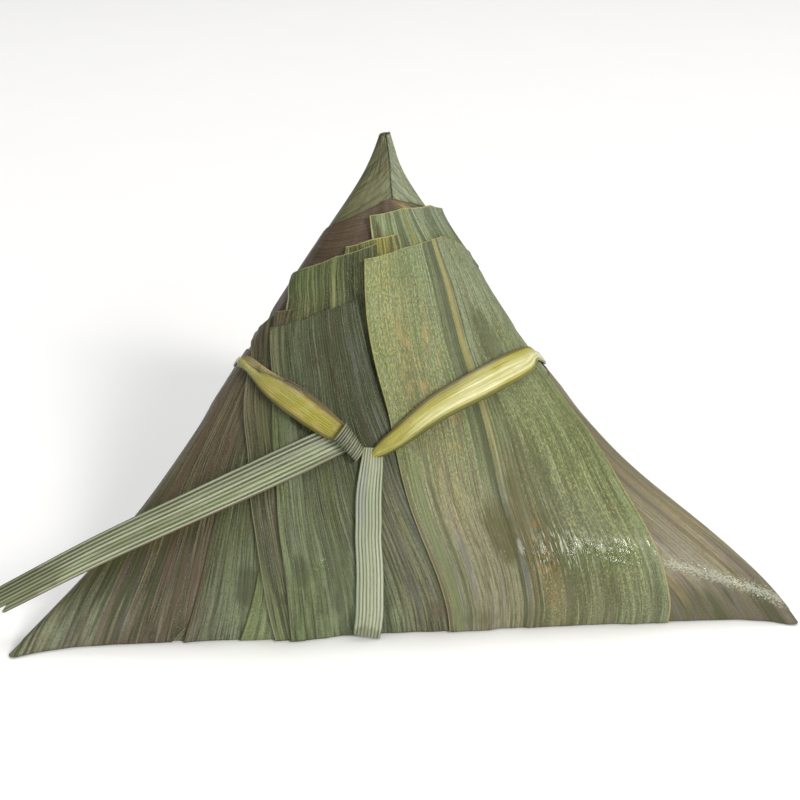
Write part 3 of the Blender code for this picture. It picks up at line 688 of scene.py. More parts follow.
# the look of each leaf, in leaf coordinates: across 0 left to 1 right, and along 0 foot to 1 top. A ground
# gives, for each height, the colours at places across. Lines are (place across, width mm, colour,
# strength, foot, top), and edges are (width mm, colour, strength)
leafLooks = {
    "hornLeftLeaf": {
        "lean": 76, "seed": 1, "streaky": 0.03, "pale": "putty", "mottleTint": "darkOlive", "mottle": 0.35,
        "ground": {0.95: {0: "olive", 1: "khaki"}, 0.6: {0: "olive", 1: "khaki"}},
        "spots": (
            spot((0.92, 0.74), (3, 2.2), "greyGreen", 0.45), spot((0.8, 0.86), (2.5, 3), "umber", 0.45))},
    "hornRightLeaf": {
        "lean": 104, "seed": 2, "streaky": 0.03, "mottle": 0.12, "streak": 0.2,
        "ground": {0.95: {0: "blueGreen", 0.4: "silverGreen", 1: "khaki"},
                   0.5: {0: "silverGreen", 0.3: "silverGreen", 1: "olive"}},
        "layers": (
            layer("umber", 0.8, (0.6, 0.45), (0.5, 0.58), (-0.1, 0.012, -0.3, 1.3), ease=0.006),)},
    "hornCollarLeaf": {
        "lean": 97, "seed": 3, "streaky": 0.04, "pale": "taupe", "dark": "darkBrown", "mottle": 0.35,
        "mottleTint": "brown",
        "ground": {0.9: {0: "brown", 0.6: "brown", 0.68: "tan", 0.75: "greyGreen"},
                   0.3: {0: "darkBrown", 1: "darkBrown"}},
        "edges": {"top": (0.25, "darkBrown", 0.6)}},
    "leftCornerLeaf": {
        "seed": 4, "lean": -18, "dark": "ink", "pale": "putty", "fibre": 0.7, "shine": 0.42,
        "mottleTint": "brown", "streaky": 0.03, "mottle": 0.4,
        "ground": {0.85: {0.5: "taupe", 0.8: "brown", 1: "brown"},
                   0.35: {0.6: "khaki", 0.8: "darkOlive", 0.9: "umber", 1: "taupe"},
                   0.05: {0.6: "khaki", 0.83: "greyGreen", 0.91: "taupe", 1: "umber"}},
        "layers": (
            layer("brown", 0.75, (1.4, 14), (0.5, 0.6), (0.7, 1.2, 0.25, 1.2)),
            layer("putty", 0.18, (0.3, 9), (0.53, 0.62), (0.7, 1.2, 0.1, 1.2)),
            layer("deepOlive", 0.65, (1.3, 40), (0.5, 0.57), (0.72, 0.93, -0.2, 0.48)),
            layer("brown", 0.55, (1, 30), (0.52, 0.58), (0.82, 1.2, -0.2, 0.4)),
            layer("mauve", 0.16, (0.5, 20), (0.53, 0.61), (0.82, 1.2, -0.2, 0.4)))},
    "rightCornerLeaf": {
        "seed": 5, "drops": (0.45, 0.5), "dark": "umber", "pale": "putty", "fibre": 0.35, "shine": 0.16,
        "mottleTint": "brown", "streaky": 0.025, "mottle": 0.35, "streak": 0.55,
        "ground": {0.8: {0: "taupe", 0.25: "khaki", 1: "olive"},
                   0.3: {0: "putty", 0.25: "putty", 1: "olive"},
                   0.12: {0: "olive", 0.25: "taupe", 1: "olive"}},
        "layers": (
            layer("brown", 0.42, (1.6, 40), (0.48, 0.58), (-0.2, 0.4, 0.2, 1.2)),
            layer("mauve", 0.2, (1.4, 22), (0.44, 0.58)),
            layer("darkOlive", 0.75, (1.2, 26), (0.47, 0.56), (-0.2, 0.3, -0.3, 0.18)),
            layer("taupe", 0.55, (0.8, 26), (0.52, 0.58), (-0.2, 0.3, -0.3, 0.18)),
            layer("tan", 0.16, (0.7, 20), (0.54, 0.62), (-0.2, 0.5, 0.1, 1.2))),
        "spots": (
            # painted highlight: the silver streak along the fold stands in for the sparkle of light on the
            # wet ridge, which is glossy as well
            spot((0.11, 0.31), (1.3, 1.3), "silver", 0.45, wet=1, to=(0.24, 0.095), grain=(0.3, 0.3),
                 ragged=5, soft=1.1),)},
    "backCornerLeaf": {
        "seed": 6,
        "ground": {0.85: {0: "olive", 0.5: "khaki", 1: "olive"},
                   0.15: {0: "khaki", 0.6: "olive", 1: "leafGreen"}},
        "edges": {"top": (0.25, "putty", 0.5)}},
    "leftInnerLeaf": {
        "seed": 7, "streak": 0.65, "dark": "ink", "pale": "greyGreen", "shine": 0.42,
        "ground": {0.9: {0: "umber", 1: "darkOlive"}, 0.6: {0: "olive", 1: "olive"},
                   0.05: {0: "taupe", 0.5: "greyGreen", 1: "leafGreen"}},
        "edges": {"left": (0.3, "brown", 0.6)},
        "spots": (
            spot((0.62, 0.3), (2.6, 5), "deepOlive", 0.6),)},
    "upperRightLeaf": {
        "seed": 8, "mottle": 0.12, "streak": 0.55, "shine": 0.5, "mottleTint": "greyGreen", "streaky": 0.03,
        "ground": {0.9: {0: "freshGreen", 0.45: "greyGreen", 1: "blueGreen"},
                   0.4: {0: "leafGreen", 1: "leafGreen"}},
        "lines": ((0.22, 1.2, "moss", 0.6, -0.2, 1.2), (0.33, 1.6, "darkOlive", 0.65, -0.2, 1.2),
                  (0.43, 1.1, "brass", 0.5, -0.2, 1.2), (0.52, 0.8, "darkOlive", 0.6, -0.2, 1.2)),
        "edges": {"left": (0.35, "straw", 0.7), "top": (0.22, "straw", 0.45)},
        "spots": (
            spot((0.085, 0.72), (0.45, 2.6), "brown", 0.85, ragged=0.5),)},
    "upperSliverLeaf": {
        "seed": 9,
        "ground": {0.9: {0: "khaki", 1: "yellowGreen"}, 0.4: {0: "olive", 1: "olive"}},
        "edges": {"top": (0.25, "tan", 0.6)}},
    "upperTabLeaf": {
        "seed": 10, "pale": "straw", "fibre": 0.8, "streak": 0.8, "mottleTint": "olive", "streaky": 0.03,
        "ground": {0.8: {0: "olive", 0.4: "moss", 0.68: "brass", 1: "khaki"}, 0.3: {0: "olive", 1: "khaki"}},
        "edges": {"right": (0.55, "darkBrown", 0.75), "top": (0.22, "straw", 0.6)}},
    "upperLeftLeaf": {
        "seed": 11, "streak": 0.7, "dark": "ink", "pale": "yellowGreen", "fibre": 0.75, "shine": 0.4,
        "mottleTint": "darkOlive", "streaky": 0.035,
        "ground": {0.85: {0: "leafGreen", 0.45: "leafGreen", 0.65: "darkOlive", 1: "darkOlive"},
                   0.4: {0: "khaki", 0.3: "olive", 1: "deepOlive"}},
        "lines": ((0.36, 1.6, "deepOlive", 0.5, -0.2, 1.2), (0.5, 0.8, "yellowGreen", 0.6, -0.2, 1.2)),
        "edges": {"left": (0.35, "paleGreen", 0.6), "top": (0.22, "yellowGreen", 0.6)}},
    "gussetLeaf": {
        "seed": 12, "dark": "darkOlive", "mottleTint": "moss", "mottle": 0.2,
        "ground": {0.9: {0: "moss", 1: "leafGreen"}, 0.2: {0: "leafGreen", 1: "greyGreen"}},
        "edges": {"left": (0.25, "umber", 0.5)}},
    "leftStripLeaf": {
        "seed": 13, "grit": 0.3, "streak": 0.65, "dark": "ink", "pale": "putty", "fibre": 0.75,
        "shine": 0.36, "mottleTint": "brown", "streaky": 0.03,
        "ground": {0.9: {0: "umber", 1: "umber"}, 0.45: {0: "darkOlive", 1: "umber"},
                   0.05: {0: "leafGreen", 1: "khaki"}},
        "edges": {"left": (0.26, "putty", 0.6), "top": (0.2, "yellowGreen", 0.4)},
        "spots": (
            # painted sheen: the slate tint of this wet place stands in for a bluish sheen of light on it;
            # the place is glossy as well
            spot((0.62, 0.2), (1.3, 5.5), "slate", 0.45, wet=0.7),
            spot((0.45, 0.17), (1.4, 1.6), "deepOlive", 0.6), spot((0.6, 0.66), (3, 5), "olive", 0.5))},
    "frontLeftLeaf": {
        "seed": 14, "dark": "ink", "pale": "greyGreen", "fibre": 0.75, "shine": 0.42,
        "mottleTint": "deepOlive", "mottle": 0.5, "streaky": 0.035, "streak": 0.5, "grit": 0.5,
        "ground": {0.9: {0: "khaki", 0.15: "olive", 0.45: "darkOlive", 1: "deepOlive"},
                   0.6: {0: "moss", 0.25: "olive", 0.7: "deepOlive", 1: "darkOlive"},
                   0.38: {0: "moss", 0.5: "olive", 0.72: "khaki", 1: "olive"},
                   0.05: {0: "leafGreen", 0.5: "greyGreen", 0.7: "khaki", 1: "taupe"}},
        "layers": (
            layer("slate", 0.2, (0.5, 10), (0.53, 0.62), (0.75, 1.2, 0.52, 0.9)),
            layer("deepOlive", 0.55, (1.6, 26), (0.51, 0.6), (0.1, 0.85, 0.55, 1.2)),
            layer("darkBrown", 0.55, (1.2, 5), (0.55, 0.62), (0.35, 0.9, 0.62, 1.2)),
            layer("greyGreen", 0.3, (0.5, 26), (0.54, 0.6), (-0.2, 0.4, -0.2, 1.2)),
            layer("mauve", 0.26, (0.8, 16), (0.5, 0.6), (0.66, 1.2, -0.2, 0.5)),
            layer("darkOlive", 0.45, (0.9, 30), (0.52, 0.59), (0.1, 1.2, -0.2, 0.5))),
        "edges": {"left": (0.2, "khaki", 0.35), "top": (0.18, "darkOlive", 0.4)},
        "spots": (
            spot((0.1, 0.27), (1.6, 3), "deepOlive", 0.55), spot((0.22, 0.27), (1.6, 2.2), wet=0.9),
            spot((0.8, 0.09), (1.6, 2), "brown", 0.45), spot((0.6, 0.9), (3.6, 3), "deepOlive", 0.5),
            spot((0.57, 0.48), (2.6, 4.5), "darkOlive", 0.5))},
    "frontRightLeaf": {
        "seed": 15, "dark": "darkOlive", "mottleTint": "olive", "streaky": 0.018, "streak": 0.5,
        "fibre": 0.6, "shine": 0.4, "drops": (0.45, 3.2),
        "ground": {0.9: {0: "freshGreen", 0.12: "yellowGreen", 0.25: "freshGreen", 0.6: "blueGreen",
                         1: "blueGreen"},
                   0.55: {0: "leafGreen", 0.2: "khaki", 0.35: "freshGreen", 0.6: "leafGreen",
                          1: "freshGreen"},
                   0.3: {0: "khaki", 0.18: "putty", 0.4: "putty", 0.54: "stain", 0.75: "moss",
                         1: "freshGreen"},
                   0.06: {0: "khaki", 0.3: "putty", 0.6: "khaki", 1: "greyGreen"}},
        "lines": ((0.44, 2.8, "darkOlive", 0.45, 0.45, 1.3), (0.455, 0.6, "deepOlive", 0.6, 0.35, 1.3),
                  (0.415, 0.5, "deepOlive", 0.45, 0.4, 1.3), (0.475, 1, "deepOlive", 0.7, -0.3, 1.3),
                  (0.505, 1.8, "brass", 0.36, 0.62, 1.3), (0.505, 1.2, "tan", 0.36, 0.5, 1.3),
                  (0.497, 1, "slate", 0.36, 0.1, 0.42), (0.5, 0.8, "taupe", 0.45, -0.3, 0.12),
                  (0.52, 0.5, "umber", 0.6, -0.3, 0.6), (0.19, 0.9, "slate", 0.4, 0.1, 0.34),
                  (0.012, 0.7, "brown", 0.6, -0.3, 0.5), (0.54, 0.5, "deepOlive", 0.5, -0.2, 1.3),
                  (0.57, 0.5, "greyGreen", 0.5, 0.3, 1.3), (0.6, 0.5, "deepOlive", 0.45, 0.2, 0.9),
                  (0.07, 2.2, "leafGreen", 0.55, -0.3, 0.5), (0.14, 0.8, "darkOlive", 0.6, -0.3, 0.55)),
        "layers": (
            layer("straw", 0.5, (0.2, 0.52), (0.52, 0.58), (-0.3, 0.2, 0.5, 1.3), ease=0.1, rise=0.006),
            layer("paleGreen", 0.45, (0.2, 0.5), (0.52, 0.58), (0.2, 0.46, 0.4, 1.3), ease=0.08, rise=0.006),
            layer("tan", 0.52, (0.22, 0.6), (0.54, 0.6), (0.12, 0.38, 0.3, 0.92), ease=0.08, rise=0.006),
            layer("moss", 0.68, (0.22, 0.55), (0.49, 0.56), (-0.3, 0.46, 0.2, 1.3), ease=0.08, rise=-0.006),
            layer("tan", 0.5, (1.1, 4.5), (0.57, 0.65), (0.14, 0.36, 0.3, 0.86)),
            layer("straw", 0.38, (0.22, 0.55), (0.53, 0.6), (0.54, 0.95, 0.02, 1.3)),
            layer("darkOlive", 0.4, (0.22, 0.5), (0.51, 0.58), (0.54, 1.2, 0.02, 1.3)),
            layer("brown", 0.5, (0.6, 14), (0.52, 0.59), (0.05, 0.42, -0.3, 0.6)),
            layer("putty", 0.45, (0.22, 2.2), (0.52, 0.6), (0.05, 0.5, -0.3, 0.5)),
            layer("stain", 0.62, (1.2, 9), (0.46, 0.58), (0.52, 0.68, 0.2, 0.66)),
            layer("rust", 0.32, (0.35, 1.4), (0.49, 0.6), (0.52, 0.62, 0.08, 0.5), ease=0.03),
            layer("darkOlive", 0.48, (1, 34), (0.5, 0.58), (0.56, 0.92, -0.3, 0.56)),
            layer("taupe", 0.42, (0.8, 30), (0.52, 0.6), (0.6, 0.95, -0.3, 0.18)),
            layer("slate", 0.24, (0.6, 24), (0.53, 0.6), (-0.1, 0.4, -0.3, 0.3)),
            # painted highlight: thin silver streaks across the wet band stand in for glints of light on the
            # wet veins
            layer("silver", 0.55, (0.24, 3.5), (0.56, 0.6), (0.54, 0.76, 0.2, 0.31), ease=0.03)),
        "edges": {"left": (0.22, "straw", 0.3), "top": (0.18, "straw", 0.4), "right": (0.22, "tan", 0.6)},
        "spots": (
            spot((0.7, 0.76), (3, 7), "darkOlive", 0.55),
            spot((0.44, 0.31), (3.6, 8), "stain", 0.85, wet=0.35, ragged=0.8),
            spot((0.64, 0.42), (4, 9), "darkOlive", 0.35),
            spot((0.55, 0.35), (1.9, 9), "stain", 0.6, ragged=1.6),
            spot((0.2, 0.05), (5, 2.2), "olive", 0.35), spot((0.62, 0.25), (10, 3.8), wet=0.9),
            spot((0.84, 0.23), (7, 3.4), "moss", 0.35, wet=1),
            # painted highlights: these three silver spots, one on the midrib, stand in for glints of light
            # on wet places, which are glossy as well
            spot((0.505, 0.27), (0.35, 2), "silver", 0.3, wet=1),
            spot((0.8, 0.25), (0.6, 1), "silver", 0.3, wet=1),
            spot((0.72, 0.27), (0.5, 1.6), "silver", 0.3, wet=1))},
}
innerWrap = buildInnerWrap()
innerWrapLook = {
    "seed": 21,
    "ground": {0.8: {0: "olive", 0.5: "umber", 1: "olive"}, 0.2: {0: "umber", 0.5: "olive", 1: "umber"}}}
innerWrap.data.materials.append(leafSkin("innerBambooWrap", innerWrapLook, (300, bodyHeight)))
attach(innerWrap, "root")
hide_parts("filling_wrap")
print("inner wrap made")
for name, (node, slot, settings) in leaves.items():
    piece = layLeaf(name, settings)
    skin = leafSkin(name.replace("Leaf", "BambooSkin"), leafLooks[name], piece["leafSize"])
    piece.data.materials.append(skin)
    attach(piece, "root")
    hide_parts(node)


# a closed strip swept along centre: at each row the section is a flattened oval, half width a and half
# depth b, whose outer face carries rounded ribs along the strip; endStep pushes single ribs past the end.
# Across it the oval goes from a round (flat 0) to an even (flat 1) spread, and square makes it boxier
def sweepStrip(name, centre, outward, halfWidth, halfDepth, spec, endStep=None):
    rows, cols = len(centre), spec["cols"]
    flat, square = spec.get("flat", 0), spec.get("square", 2.4)
    ahead = np.gradient(centre, axis=0)
    ahead /= np.linalg.norm(ahead, axis=1)[:, None]
    out = outward - ahead * (outward * ahead).sum(1)[:, None]
    out /= np.linalg.norm(out, axis=1)[:, None]
    across = np.cross(out, ahead)
    u, v = np.linspace(0, 1, cols), np.linspace(0, 1, rows)
    side = -np.cos(u * math.pi) * (1 - flat) + (2 * u - 1) * flat
    dome = np.clip(1 - np.abs(side) ** square, 0, 1) ** (1 / square)
    rib = np.abs(np.sin((side + 1) / 2 * math.pi * spec["ribs"])) ** 0.7 - 0.5
    under = -dome[None, :] * halfDepth[:, None]
    top = spec["ribHeight"] * rib[None, :] * np.minimum(dome * 3, 1) - under
    both = np.concatenate([side, side[::-1]])
    spread = both[None, :] * halfWidth[:, None]
    rise = np.concatenate([top, under[:, ::-1]], 1)
    verts = centre[:, None, :] + spread[..., None] * across[:, None, :] + rise[..., None] * out[:, None, :]
    if endStep is not None:
        reach = endStep(both)[None, :] * smoothStep(0.9, 1.0, v)[:, None]
        verts = verts + reach[..., None] * ahead[:, None, :]
    k = np.arange(rows * 2 * cols).reshape(rows, 2 * cols)
    j = np.arange(cols - 1)
    first = np.stack([k[0, j], k[0, j + 1], k[0, 2 * cols - 2 - j], k[0, 2 * cols - 1 - j]], -1)
    last = np.stack([k[-1, j + 1], k[-1, j], k[-1, 2 * cols - 1 - j], k[-1, 2 * cols - 2 - j]], -1)
    uv = np.stack(np.broadcast_arrays((both[None, :] + 1) / 2, v[:, None]), -1)
    faces = np.concatenate([gridFaces(rows, 2 * cols, closed=True)[:, ::-1], first, last])
    return makeMesh(name, verts, faces, uv)


# how far a strip along (place, height) is raised to lie on what is below, felt at the spots feel across
# its width; keep is what is left of a height from one step to the next, so that it comes down gently
def restAlong(spec, place, height, width):
    under = np.stack([onBody(place, height + s * width)[0] for s in spec["feel"]], 1)
    lift = restingLift(under, spec["reach"], spec["clear"]).max(1)
    for _ in range(spec["passes"]):
        wide = np.pad(lift, 1, mode="edge")
        lift = np.maximum(lift * spec["keep"], (wide[:-2] + wide[2:]) / 2)
    return lift


# the smooth curves of a strip along its length, one for each key
def runs(spec, *keys):
    return [smoothRun(spec[key], spec["rows"]) for key in keys]


# the tie: a split leaf strip that goes round the body, is knotted in front and leaves two tails.
# Places round the body, heights in mm, half widths and half depths in mm at those places. The left arm
# lies over the side tail, armLift higher from the places armOver on
loopShape = {
    "place": (0.436, 0.485, 0.62, 0.80, 0.95, 1.05, 1.30, 2.0, 2.6, 2.9, 3.0, 3.06, 3.15, 3.25, 3.33, 3.36),
    "height": (28.2, 29.8, 34.0, 36.9, 38.4, 38.0, 32.5, 26.4, 31.0, 37.4, 38.3, 37.8, 36.1, 33.9, 31.8,
               30.9),
    "halfWidth": (0.6, 1.5, 2.25, 2.6, 2.4, 1.3, 1.5, 2.0, 1.4, 0.6, 0.80, 0.95, 1.9, 2.25, 1.9, 1.35),
    "halfDepth": (0.4, 0.95, 1.05, 1.0, 0.55, 0.35, 0.35, 0.5, 0.35, 0.22, 0.85, 0.65, 0.9, 1.0, 0.85, 0.6),
    "rows": 420, "cols": 60, "ribs": 9, "ribHeight": 0.035, "armLift": 0.60,
    "armOver": (3.16, 3.26),
    "feel": (-0.7, -0.35, 0, 0.35, 0.7), "reach": 0.9, "clear": 0.03, "passes": 12, "keep": 0.985,
}


def buildLoop():
    place, height, width, depth = runs(loopShape, "place", "height", "halfWidth", "halfDepth")
    lift = restAlong(loopShape, place, height, width)
    lift = lift + loopShape["armLift"] * smoothStep(*loopShape["armOver"], place)
    middle, out = onBody(place, height, lift + depth * 0.93)
    return sweepStrip("tieLoop", middle, out, width, depth, loopShape)


# the loose tails are flat ribbed strips. The side tail comes out of the knot under the left arm and runs
# straight and stiff past the left corner: its path in mm and the way its face looks at each point
tailSection = {"cols": 128, "ribs": 8, "ribHeight": 0.17, "flat": 0.75, "square": 7.0, "halfDepth": 0.24}
sideTailShape = {
    "path": ((-10.5, -24.3, 31.6), (-18.4, -26.7, 29.0), (-33.5, -30.0, 23.5), (-49.9, -32.1, 16.7),
             (-66.4, -33.2, 8.4)),
    "face": ((-0.22, -0.80, 0.55), (-0.20, -0.80, 0.56), (-0.20, -0.82, 0.52), (-0.24, -0.82, 0.50),
             (-0.2, -0.84, 0.48)),
    "halfWidth": (2.6, 2.7, 2.55, 2.35, 2.1), "rows": 260, "longRibs": 1.3, "raggedEnd": 0.5,
}


def buildSideTail():
    path, face, width = runs(sideTailShape, "path", "face", "halfWidth")

    # the four middle ribs reach further, and the end is torn
    def endStep(side):
        middle = np.abs(np.floor((side + 1) * 4) - 3.5) < 2
        return sideTailShape["longRibs"] * middle + sideTailShape["raggedEnd"] * np.sin(side * 9)

    depth = np.full(len(path), tailSection["halfDepth"])
    return sweepStrip("tieSideTail", path, face, width, depth, tailSection, endStep)


# the down tail hangs from the knot over the front, its slanting foot just above the table. It lies lift
# above the leaves, more below footLift (mm more, height), and never far above its own height (mostRise)
downTailShape = {
    "place": (0.440, 0.438, 0.431, 0.4285, 0.426, 0.429, 0.436, 0.4425),
    "height": (29.3, 27.3, 23.5, 19.8, 16.5, 10.0, 5.0, 0.9),
    "halfWidth": (1.55, 1.85, 2.1, 2.15, 2.15, 2.25, 2.3, 2.3), "rows": 240, "footSlant": 0.35,
    "lift": 0.55, "footLift": (0.5, 10), "mostRise": (2.4, 8),
    "feel": (0,), "reach": 2.2, "clear": 0.05, "passes": 60, "keep": 0.995,
}


def buildDownTail():
    place, height, width = runs(downTailShape, "place", "height", "halfWidth")
    _, out = onBody(place, height)
    lift = restAlong(downTailShape, place, height, width)
    more, below = downTailShape["footLift"]
    lift = lift + downTailShape["lift"] + more * (1 - smoothStep(0, below, height))
    down, _ = onBody(place, height, lift)
    rise, above = downTailShape["mostRise"]
    down[:, 2] = np.minimum(down[:, 2], height + rise * smoothStep(0, above, height))
    depth = np.full(len(down), tailSection["halfDepth"])
    return sweepStrip("tieDownTail", down, out, width, depth, tailSection,
                      lambda side: downTailShape["footSlant"] * side - 0.1)


# the left arm's upper edge: a rolled tan lip that starts as a lump at the body's left edge, and a dry
# papery edge that stands out from under the arm further along
armEdge = {"rows": 160, "cols": 40, "ribs": 3, "ribHeight": 0.05,
           "feel": (0,), "reach": 1.6, "clear": 0.03, "passes": 20, "keep": 0.99}
lipShape = {**armEdge, "place": (2.985, 3.02, 3.06, 3.11, 3.17), "height": (38.9, 38.9, 38.6, 38.0, 37.3),
            "halfWidth": (0.35, 0.85, 0.75, 0.50, 0.12), "halfDepth": (0.3, 0.8, 0.6, 0.4, 0.1),
            "lift": 0.75}
dryEdgeShape = {**armEdge, "place": (3.08, 3.16, 3.24, 3.31, 3.37), "height": (38.2, 37.4, 36.0, 34.2, 32.2),
                "halfWidth": (0.10, 0.45, 0.50, 0.35, 0.10), "halfDepth": (0.06, 0.10, 0.12, 0.10, 0.06),
                "lift": 0.45}


def buildArmEdge(name, spec):
    place, height, width, depth = runs(spec, "place", "height", "halfWidth", "halfDepth")
    middle, out = onBody(place, height, restAlong(spec, place, height, width) + spec["lift"])
    return sweepStrip(name, middle, out, width, depth, spec)


# the knot: the strip laid over itself once more, a short ribbed band curled round the crossing. It turns
# through turn degrees round its axis, on an oval of radius (wide, deep) that narrows from start to end,
# with ribs |sin| to the power 0.7 that slant across it
knotShape = {"start": (-10.7, -25.5, 33.5), "end": (-7.5, -27.2, 29.7), "face": (0.05, -0.86, 0.5),
             "turn": 290, "radius": (1.65, 1.4), "narrowing": 0.30, "ribs": 12, "ribHeight": 0.10,
             "slant": 0.07, "thick": 0.3, "rows": 120, "cols": 120}


def buildKnot():
    rows, cols = knotShape["rows"], knotShape["cols"]
    a, b = np.linspace(0, 1, rows)[:, None], np.linspace(0, 1, cols)[None, :]
    start = np.array(knotShape["start"])
    axis = np.array(knotShape["end"]) - start
    length = np.linalg.norm(axis)
    axis = axis / length
    face = np.array(knotShape["face"])
    face -= axis * face.dot(axis)
    face /= np.linalg.norm(face)
    angle = (b - 0.5) * math.radians(knotShape["turn"])
    rib = knotShape["ribHeight"] * (np.abs(np.sin(a * math.pi * knotShape["ribs"])) ** 0.7 - 0.5)
    wide, deep = [radius * (1.0 - knotShape["narrowing"] * a) + rib for radius in knotShape["radius"]]
    along = length * (a - knotShape["slant"] * np.sin(angle))
    points = (start + axis * along[..., None]
              + (wide * np.sin(angle))[..., None] * np.cross(face, axis)
              + (deep * np.cos(angle))[..., None] * face)
    uv = np.stack(np.broadcast_arrays(a, b), -1)
    band = makeMesh("tieKnot", points, gridFaces(rows, cols), uv)
    thicken(band, knotShape["thick"], -1.0)
    return band


# smooth where it is drawn tight over the body: brass yellow at the left, paler to the right, its upper
# edge dry and tan. A pale cream band down the middle of the right arm is a painted highlight, and the
# darkest stops at the strip's borders, with the dark lines along both borders, are painted shade. The ground
# runs along the strip, from 0 at the right of the knot to 1 at its left
loopLook = {
    "seed": 31, "wobble": 0.1, "streaky": 0.04, "veinPitch": 0.42, "vein": 0.08, "dark": "brass",
    "pale": "butter", "fibre": 0.3, "shine": 0.35, "streak": 0.2, "mottle": 0.12, "grit": 0.12,
    "mottleTint": "tan", "rough": (0.22, 0.34), "ribs": (11, "brass", "butter", 0.2, 0.6),
    "ground": {0.85: {0: "deepOlive", 0.25: "brass", 0.7: "brass", 0.92: "umber"},
               0.68: {0: "olive", 0.5: "yellowGreen", 1: "tan"},
               # painted highlight: the cream stops in the middle of the right arm; the olive stops at its
               # border are painted shade
               0.24: {0: "olive", 0.12: "butter", 0.25: "cream", 0.58: "cream", 0.75: "butter",
                      0.88: "lime", 1: "taupe"},
               0.13: {0: "olive", 0.14: "lime", 0.32: "cream", 0.55: "butter", 0.75: "brass", 1: "taupe"},
               # painted shade: the dark stops at both borders next to the knot
               0.02: {0: "stain", 0.25: "brass", 0.5: "lime", 0.8: "brass", 1: "stain"}},
    "layers": (
        layer("brass", 0.75, (1, 12), (0.42, 0.58), (-0.2, 1.2, 0.78, 1.2)),
        layer("tan", 0.5, (0.9, 7), (0.5, 0.62), (-0.2, 1.2, 0.78, 1.2)),
        layer("brass", 0.45, (0.3, 30), (0.5, 0.58), (-0.2, 1.2, -0.2, 0.36))),
    # painted shade: dark lines along both borders of the strip
    "edges": {"left": (0.7, "stain", 0.65), "right": (0.7, "umber", 0.65)}}
# the loose tails: silvery ribs with dark green furrows between them
tailLook = {
    "wobble": 0.05, "streaky": 0.03, "vein": 0, "dark": "furrow", "pale": "silver", "fibre": 0.3,
    "shine": 0.28, "streak": 0.15, "mottle": 0.1, "grit": 0.22, "mottleTint": "khaki",
    "rough": (0.34, 0.48)}
sideTailLook = {
    **tailLook, "seed": 33, "ribs": (8, "deepOlive", "silver", 0.44, 0.78),
    "ground": {0.95: {0: "darkOlive", 0.35: "olive", 0.7: "leafGreen", 1: "khaki"},
               0.5: {0: "darkOlive", 0.3: "olive", 0.8: "leafGreen", 1: "umber"},
               0.1: {0: "deepOlive", 0.45: "darkOlive", 0.6: "leafGreen", 1: "olive"}},
    "layers": (
        layer("darkOlive", 0.5, (0.7, 9), (0.52, 0.6), (-0.2, 0.7, -0.2, 1.2)),
        layer("paleGreen", 0.5, (0.22, 24), (0.53, 0.58), (0.3, 1.2, -0.2, 1.2)),
        layer("olive", 0.5, (1.1, 14), (0.5, 0.6))),
    "edges": {"right": (0.3, "brown", 0.6)},
    "spots": (
        spot((0.5, 1), (5, 12), "darkOlive", 0.45),)}
downTailLook = {
    **tailLook, "seed": 35, "ribs": (8, "furrow", "silver", 0.42, 0.66),
    "ground": {0.9: {0: "greyGreen", 0.6: "silverGreen", 1: "silverGreen"},
               0.1: {0: "greyGreen", 1: "greyGreen"}},
    "spots": (
        spot((0.55, 0.07), (3, 6), "silverGreen", 0.55, ragged=1.6),
        spot((0.2, 0.3), (1.2, 7), "slate", 0.35), spot((0.5, 1), (4, 3), "darkOlive", 0.45))}
knotLook = {
    **tailLook, "seed": 37, "ribs": (12, "ink", "silverGreen", 0.6, 0.8),
    "ground": {0.9: {0: "ink", 1: "darkOlive"}, 0.1: {0: "ink", 1: "umber"}},
    "edges": {"left": (0.35, "putty", 0.6)}}
lipLook = {
    "seed": 39, "wobble": 0.1, "vein": 0, "dark": "umber", "pale": "straw", "fibre": 0.4,
    "ground": {0.8: {0: "taupe", 0.5: "khaki", 1: "tan"}, 0.2: {0: "tan", 1: "khaki"}}}
dryLook = {
    "seed": 41, "wobble": 0.1, "vein": 0, "dark": "darkBrown", "pale": "putty",
    "ground": {0.8: {0: "tan", 1: "taupe"}, 0.2: {0: "taupe", 1: "umber"}}}
# each strip with its skin's name, its look and its size (mm across, mm along)
for piece, title, look, size in (
        (buildLoop(), "tieLeafSmooth", loopLook, (4.2, 165)),
        (buildSideTail(), "tieLeafRibbed", sideTailLook, (4.9, 62)),
        (buildDownTail(), "tieTailSilvery", downTailLook, (4.0, 32)),
        (buildKnot(), "knotLeafRibbed", knotLook, (5.2, 5.0)),
        (buildArmEdge("tieLip", lipShape), "tieLipRolled", lipLook, (2.0, 12.0)),
        (buildArmEdge("tieDryEdge", dryEdgeShape), "tieEdgePapery", dryLook, (1.4, 18.0))):
    piece.data.materials.append(leafSkin(title, look, size))
    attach(piece, "root")
    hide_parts("tie")
print("tie and knot made")


# camera, light and floor

camera = bpy.data.cameras.new("camera")
camera.lens = 54
camera.sensor_width = 36
camera.clip_start = 0.01
viewer = bpy.data.objects.new("camera", camera)
viewer.location = (-0.01236, -0.19584, 0.12570)
viewer.rotation_euler = (math.radians(63), 0, math.radians(-3.82))
bpy.context.scene.collection.objects.link(viewer)
bpy.context.scene.camera = viewer
bpy.context.scene.view_settings.view_transform = "Standard"


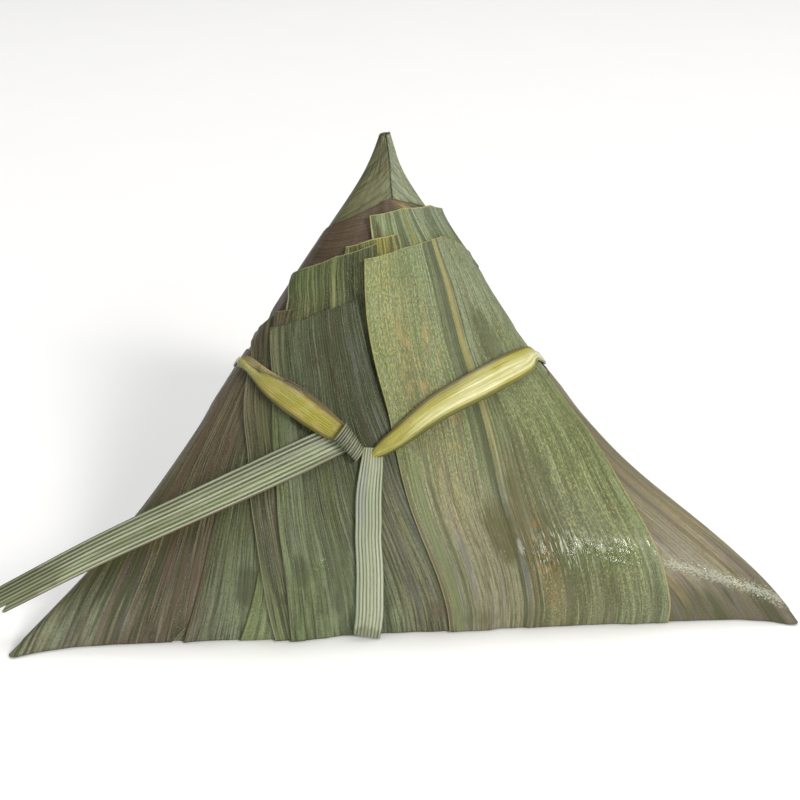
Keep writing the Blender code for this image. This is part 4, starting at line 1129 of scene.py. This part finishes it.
def softLight(name, place, target, size, power, tint="#ffffff"):
    lamp = bpy.data.lights.new(name, "AREA")
    lamp.shape = "RECTANGLE"
    lamp.size, lamp.size_y = size
    lamp.energy = power
    lamp.color = linear(tint)[:3]
    holder = bpy.data.objects.new(name, lamp)
    holder.location = place
    holder.rotation_euler = (Vector(target) - Vector(place)).to_track_quat("-Z", "Y").to_euler()
    bpy.context.scene.collection.objects.link(holder)


softLight("keyWindow", (1.25, -1.52, 1.36), (0, -0.01, 0.03), (0.6, 0.6), 32.0, "#fffaf2")
softLight("fillPanel", (-1.80, -1.05, 1.20), (0, 0, 0.03), (1.3, 1.3), 6.5, "#f2f7ff")
softLight("lowStrip", (0.42, -1.95, 0.36), (0, -0.03, 0.02), (1.3, 0.035), 7.0, "#f0f5ff")
softLight("lowStripRight", (0.84, -1.68, 0.78), (0, -0.03, 0.02), (0.5, 0.05), 4.4, "#f0f5ff")
softLight("topPanel", (0.15, 0.40, 2.25), (0, 0, 0), (1.7, 1.4), 29.0)
world = bpy.data.worlds.new("studio")
world.use_nodes = True
world.node_tree.nodes["Background"].inputs["Color"].default_value = (1, 1, 1, 1)
world.node_tree.nodes["Background"].inputs["Strength"].default_value = 0.27
bpy.context.scene.world = world

# painted board: white and nearly even, with a faint mottle a few centimetres wide
floorMaterial = bpy.data.materials.new("paleTableTop")
floorMaterial.use_nodes = True
floorTree = floorMaterial.node_tree
floorShader = floorTree.nodes["Principled BSDF"]
floorPlace = add(floorTree, "TexCoord").outputs["Object"]
cloudy = add(floorTree, "TexNoise", {"Vector": floorPlace, "Scale": 30.0, "Detail": 3.0})
floorTint = add(floorTree, "Mix", {0: cloudy, 6: linear("#fbfbfa"), 7: linear("#f8f8f7")},
                data_type="RGBA")
floorTree.links.new(floorTint.outputs[2], floorShader.inputs["Base Color"])
floorShader.inputs["Roughness"].default_value = 0.7
floorPoints = np.array([(-900, -900, 0), (900, -900, 0), (900, 900, 0), (-900, 900, 0)], float)
floor = makeMesh("floor", floorPoints, [(0, 1, 2, 3)])
floor.data.materials.append(floorMaterial)
print("camera, light and floor made")
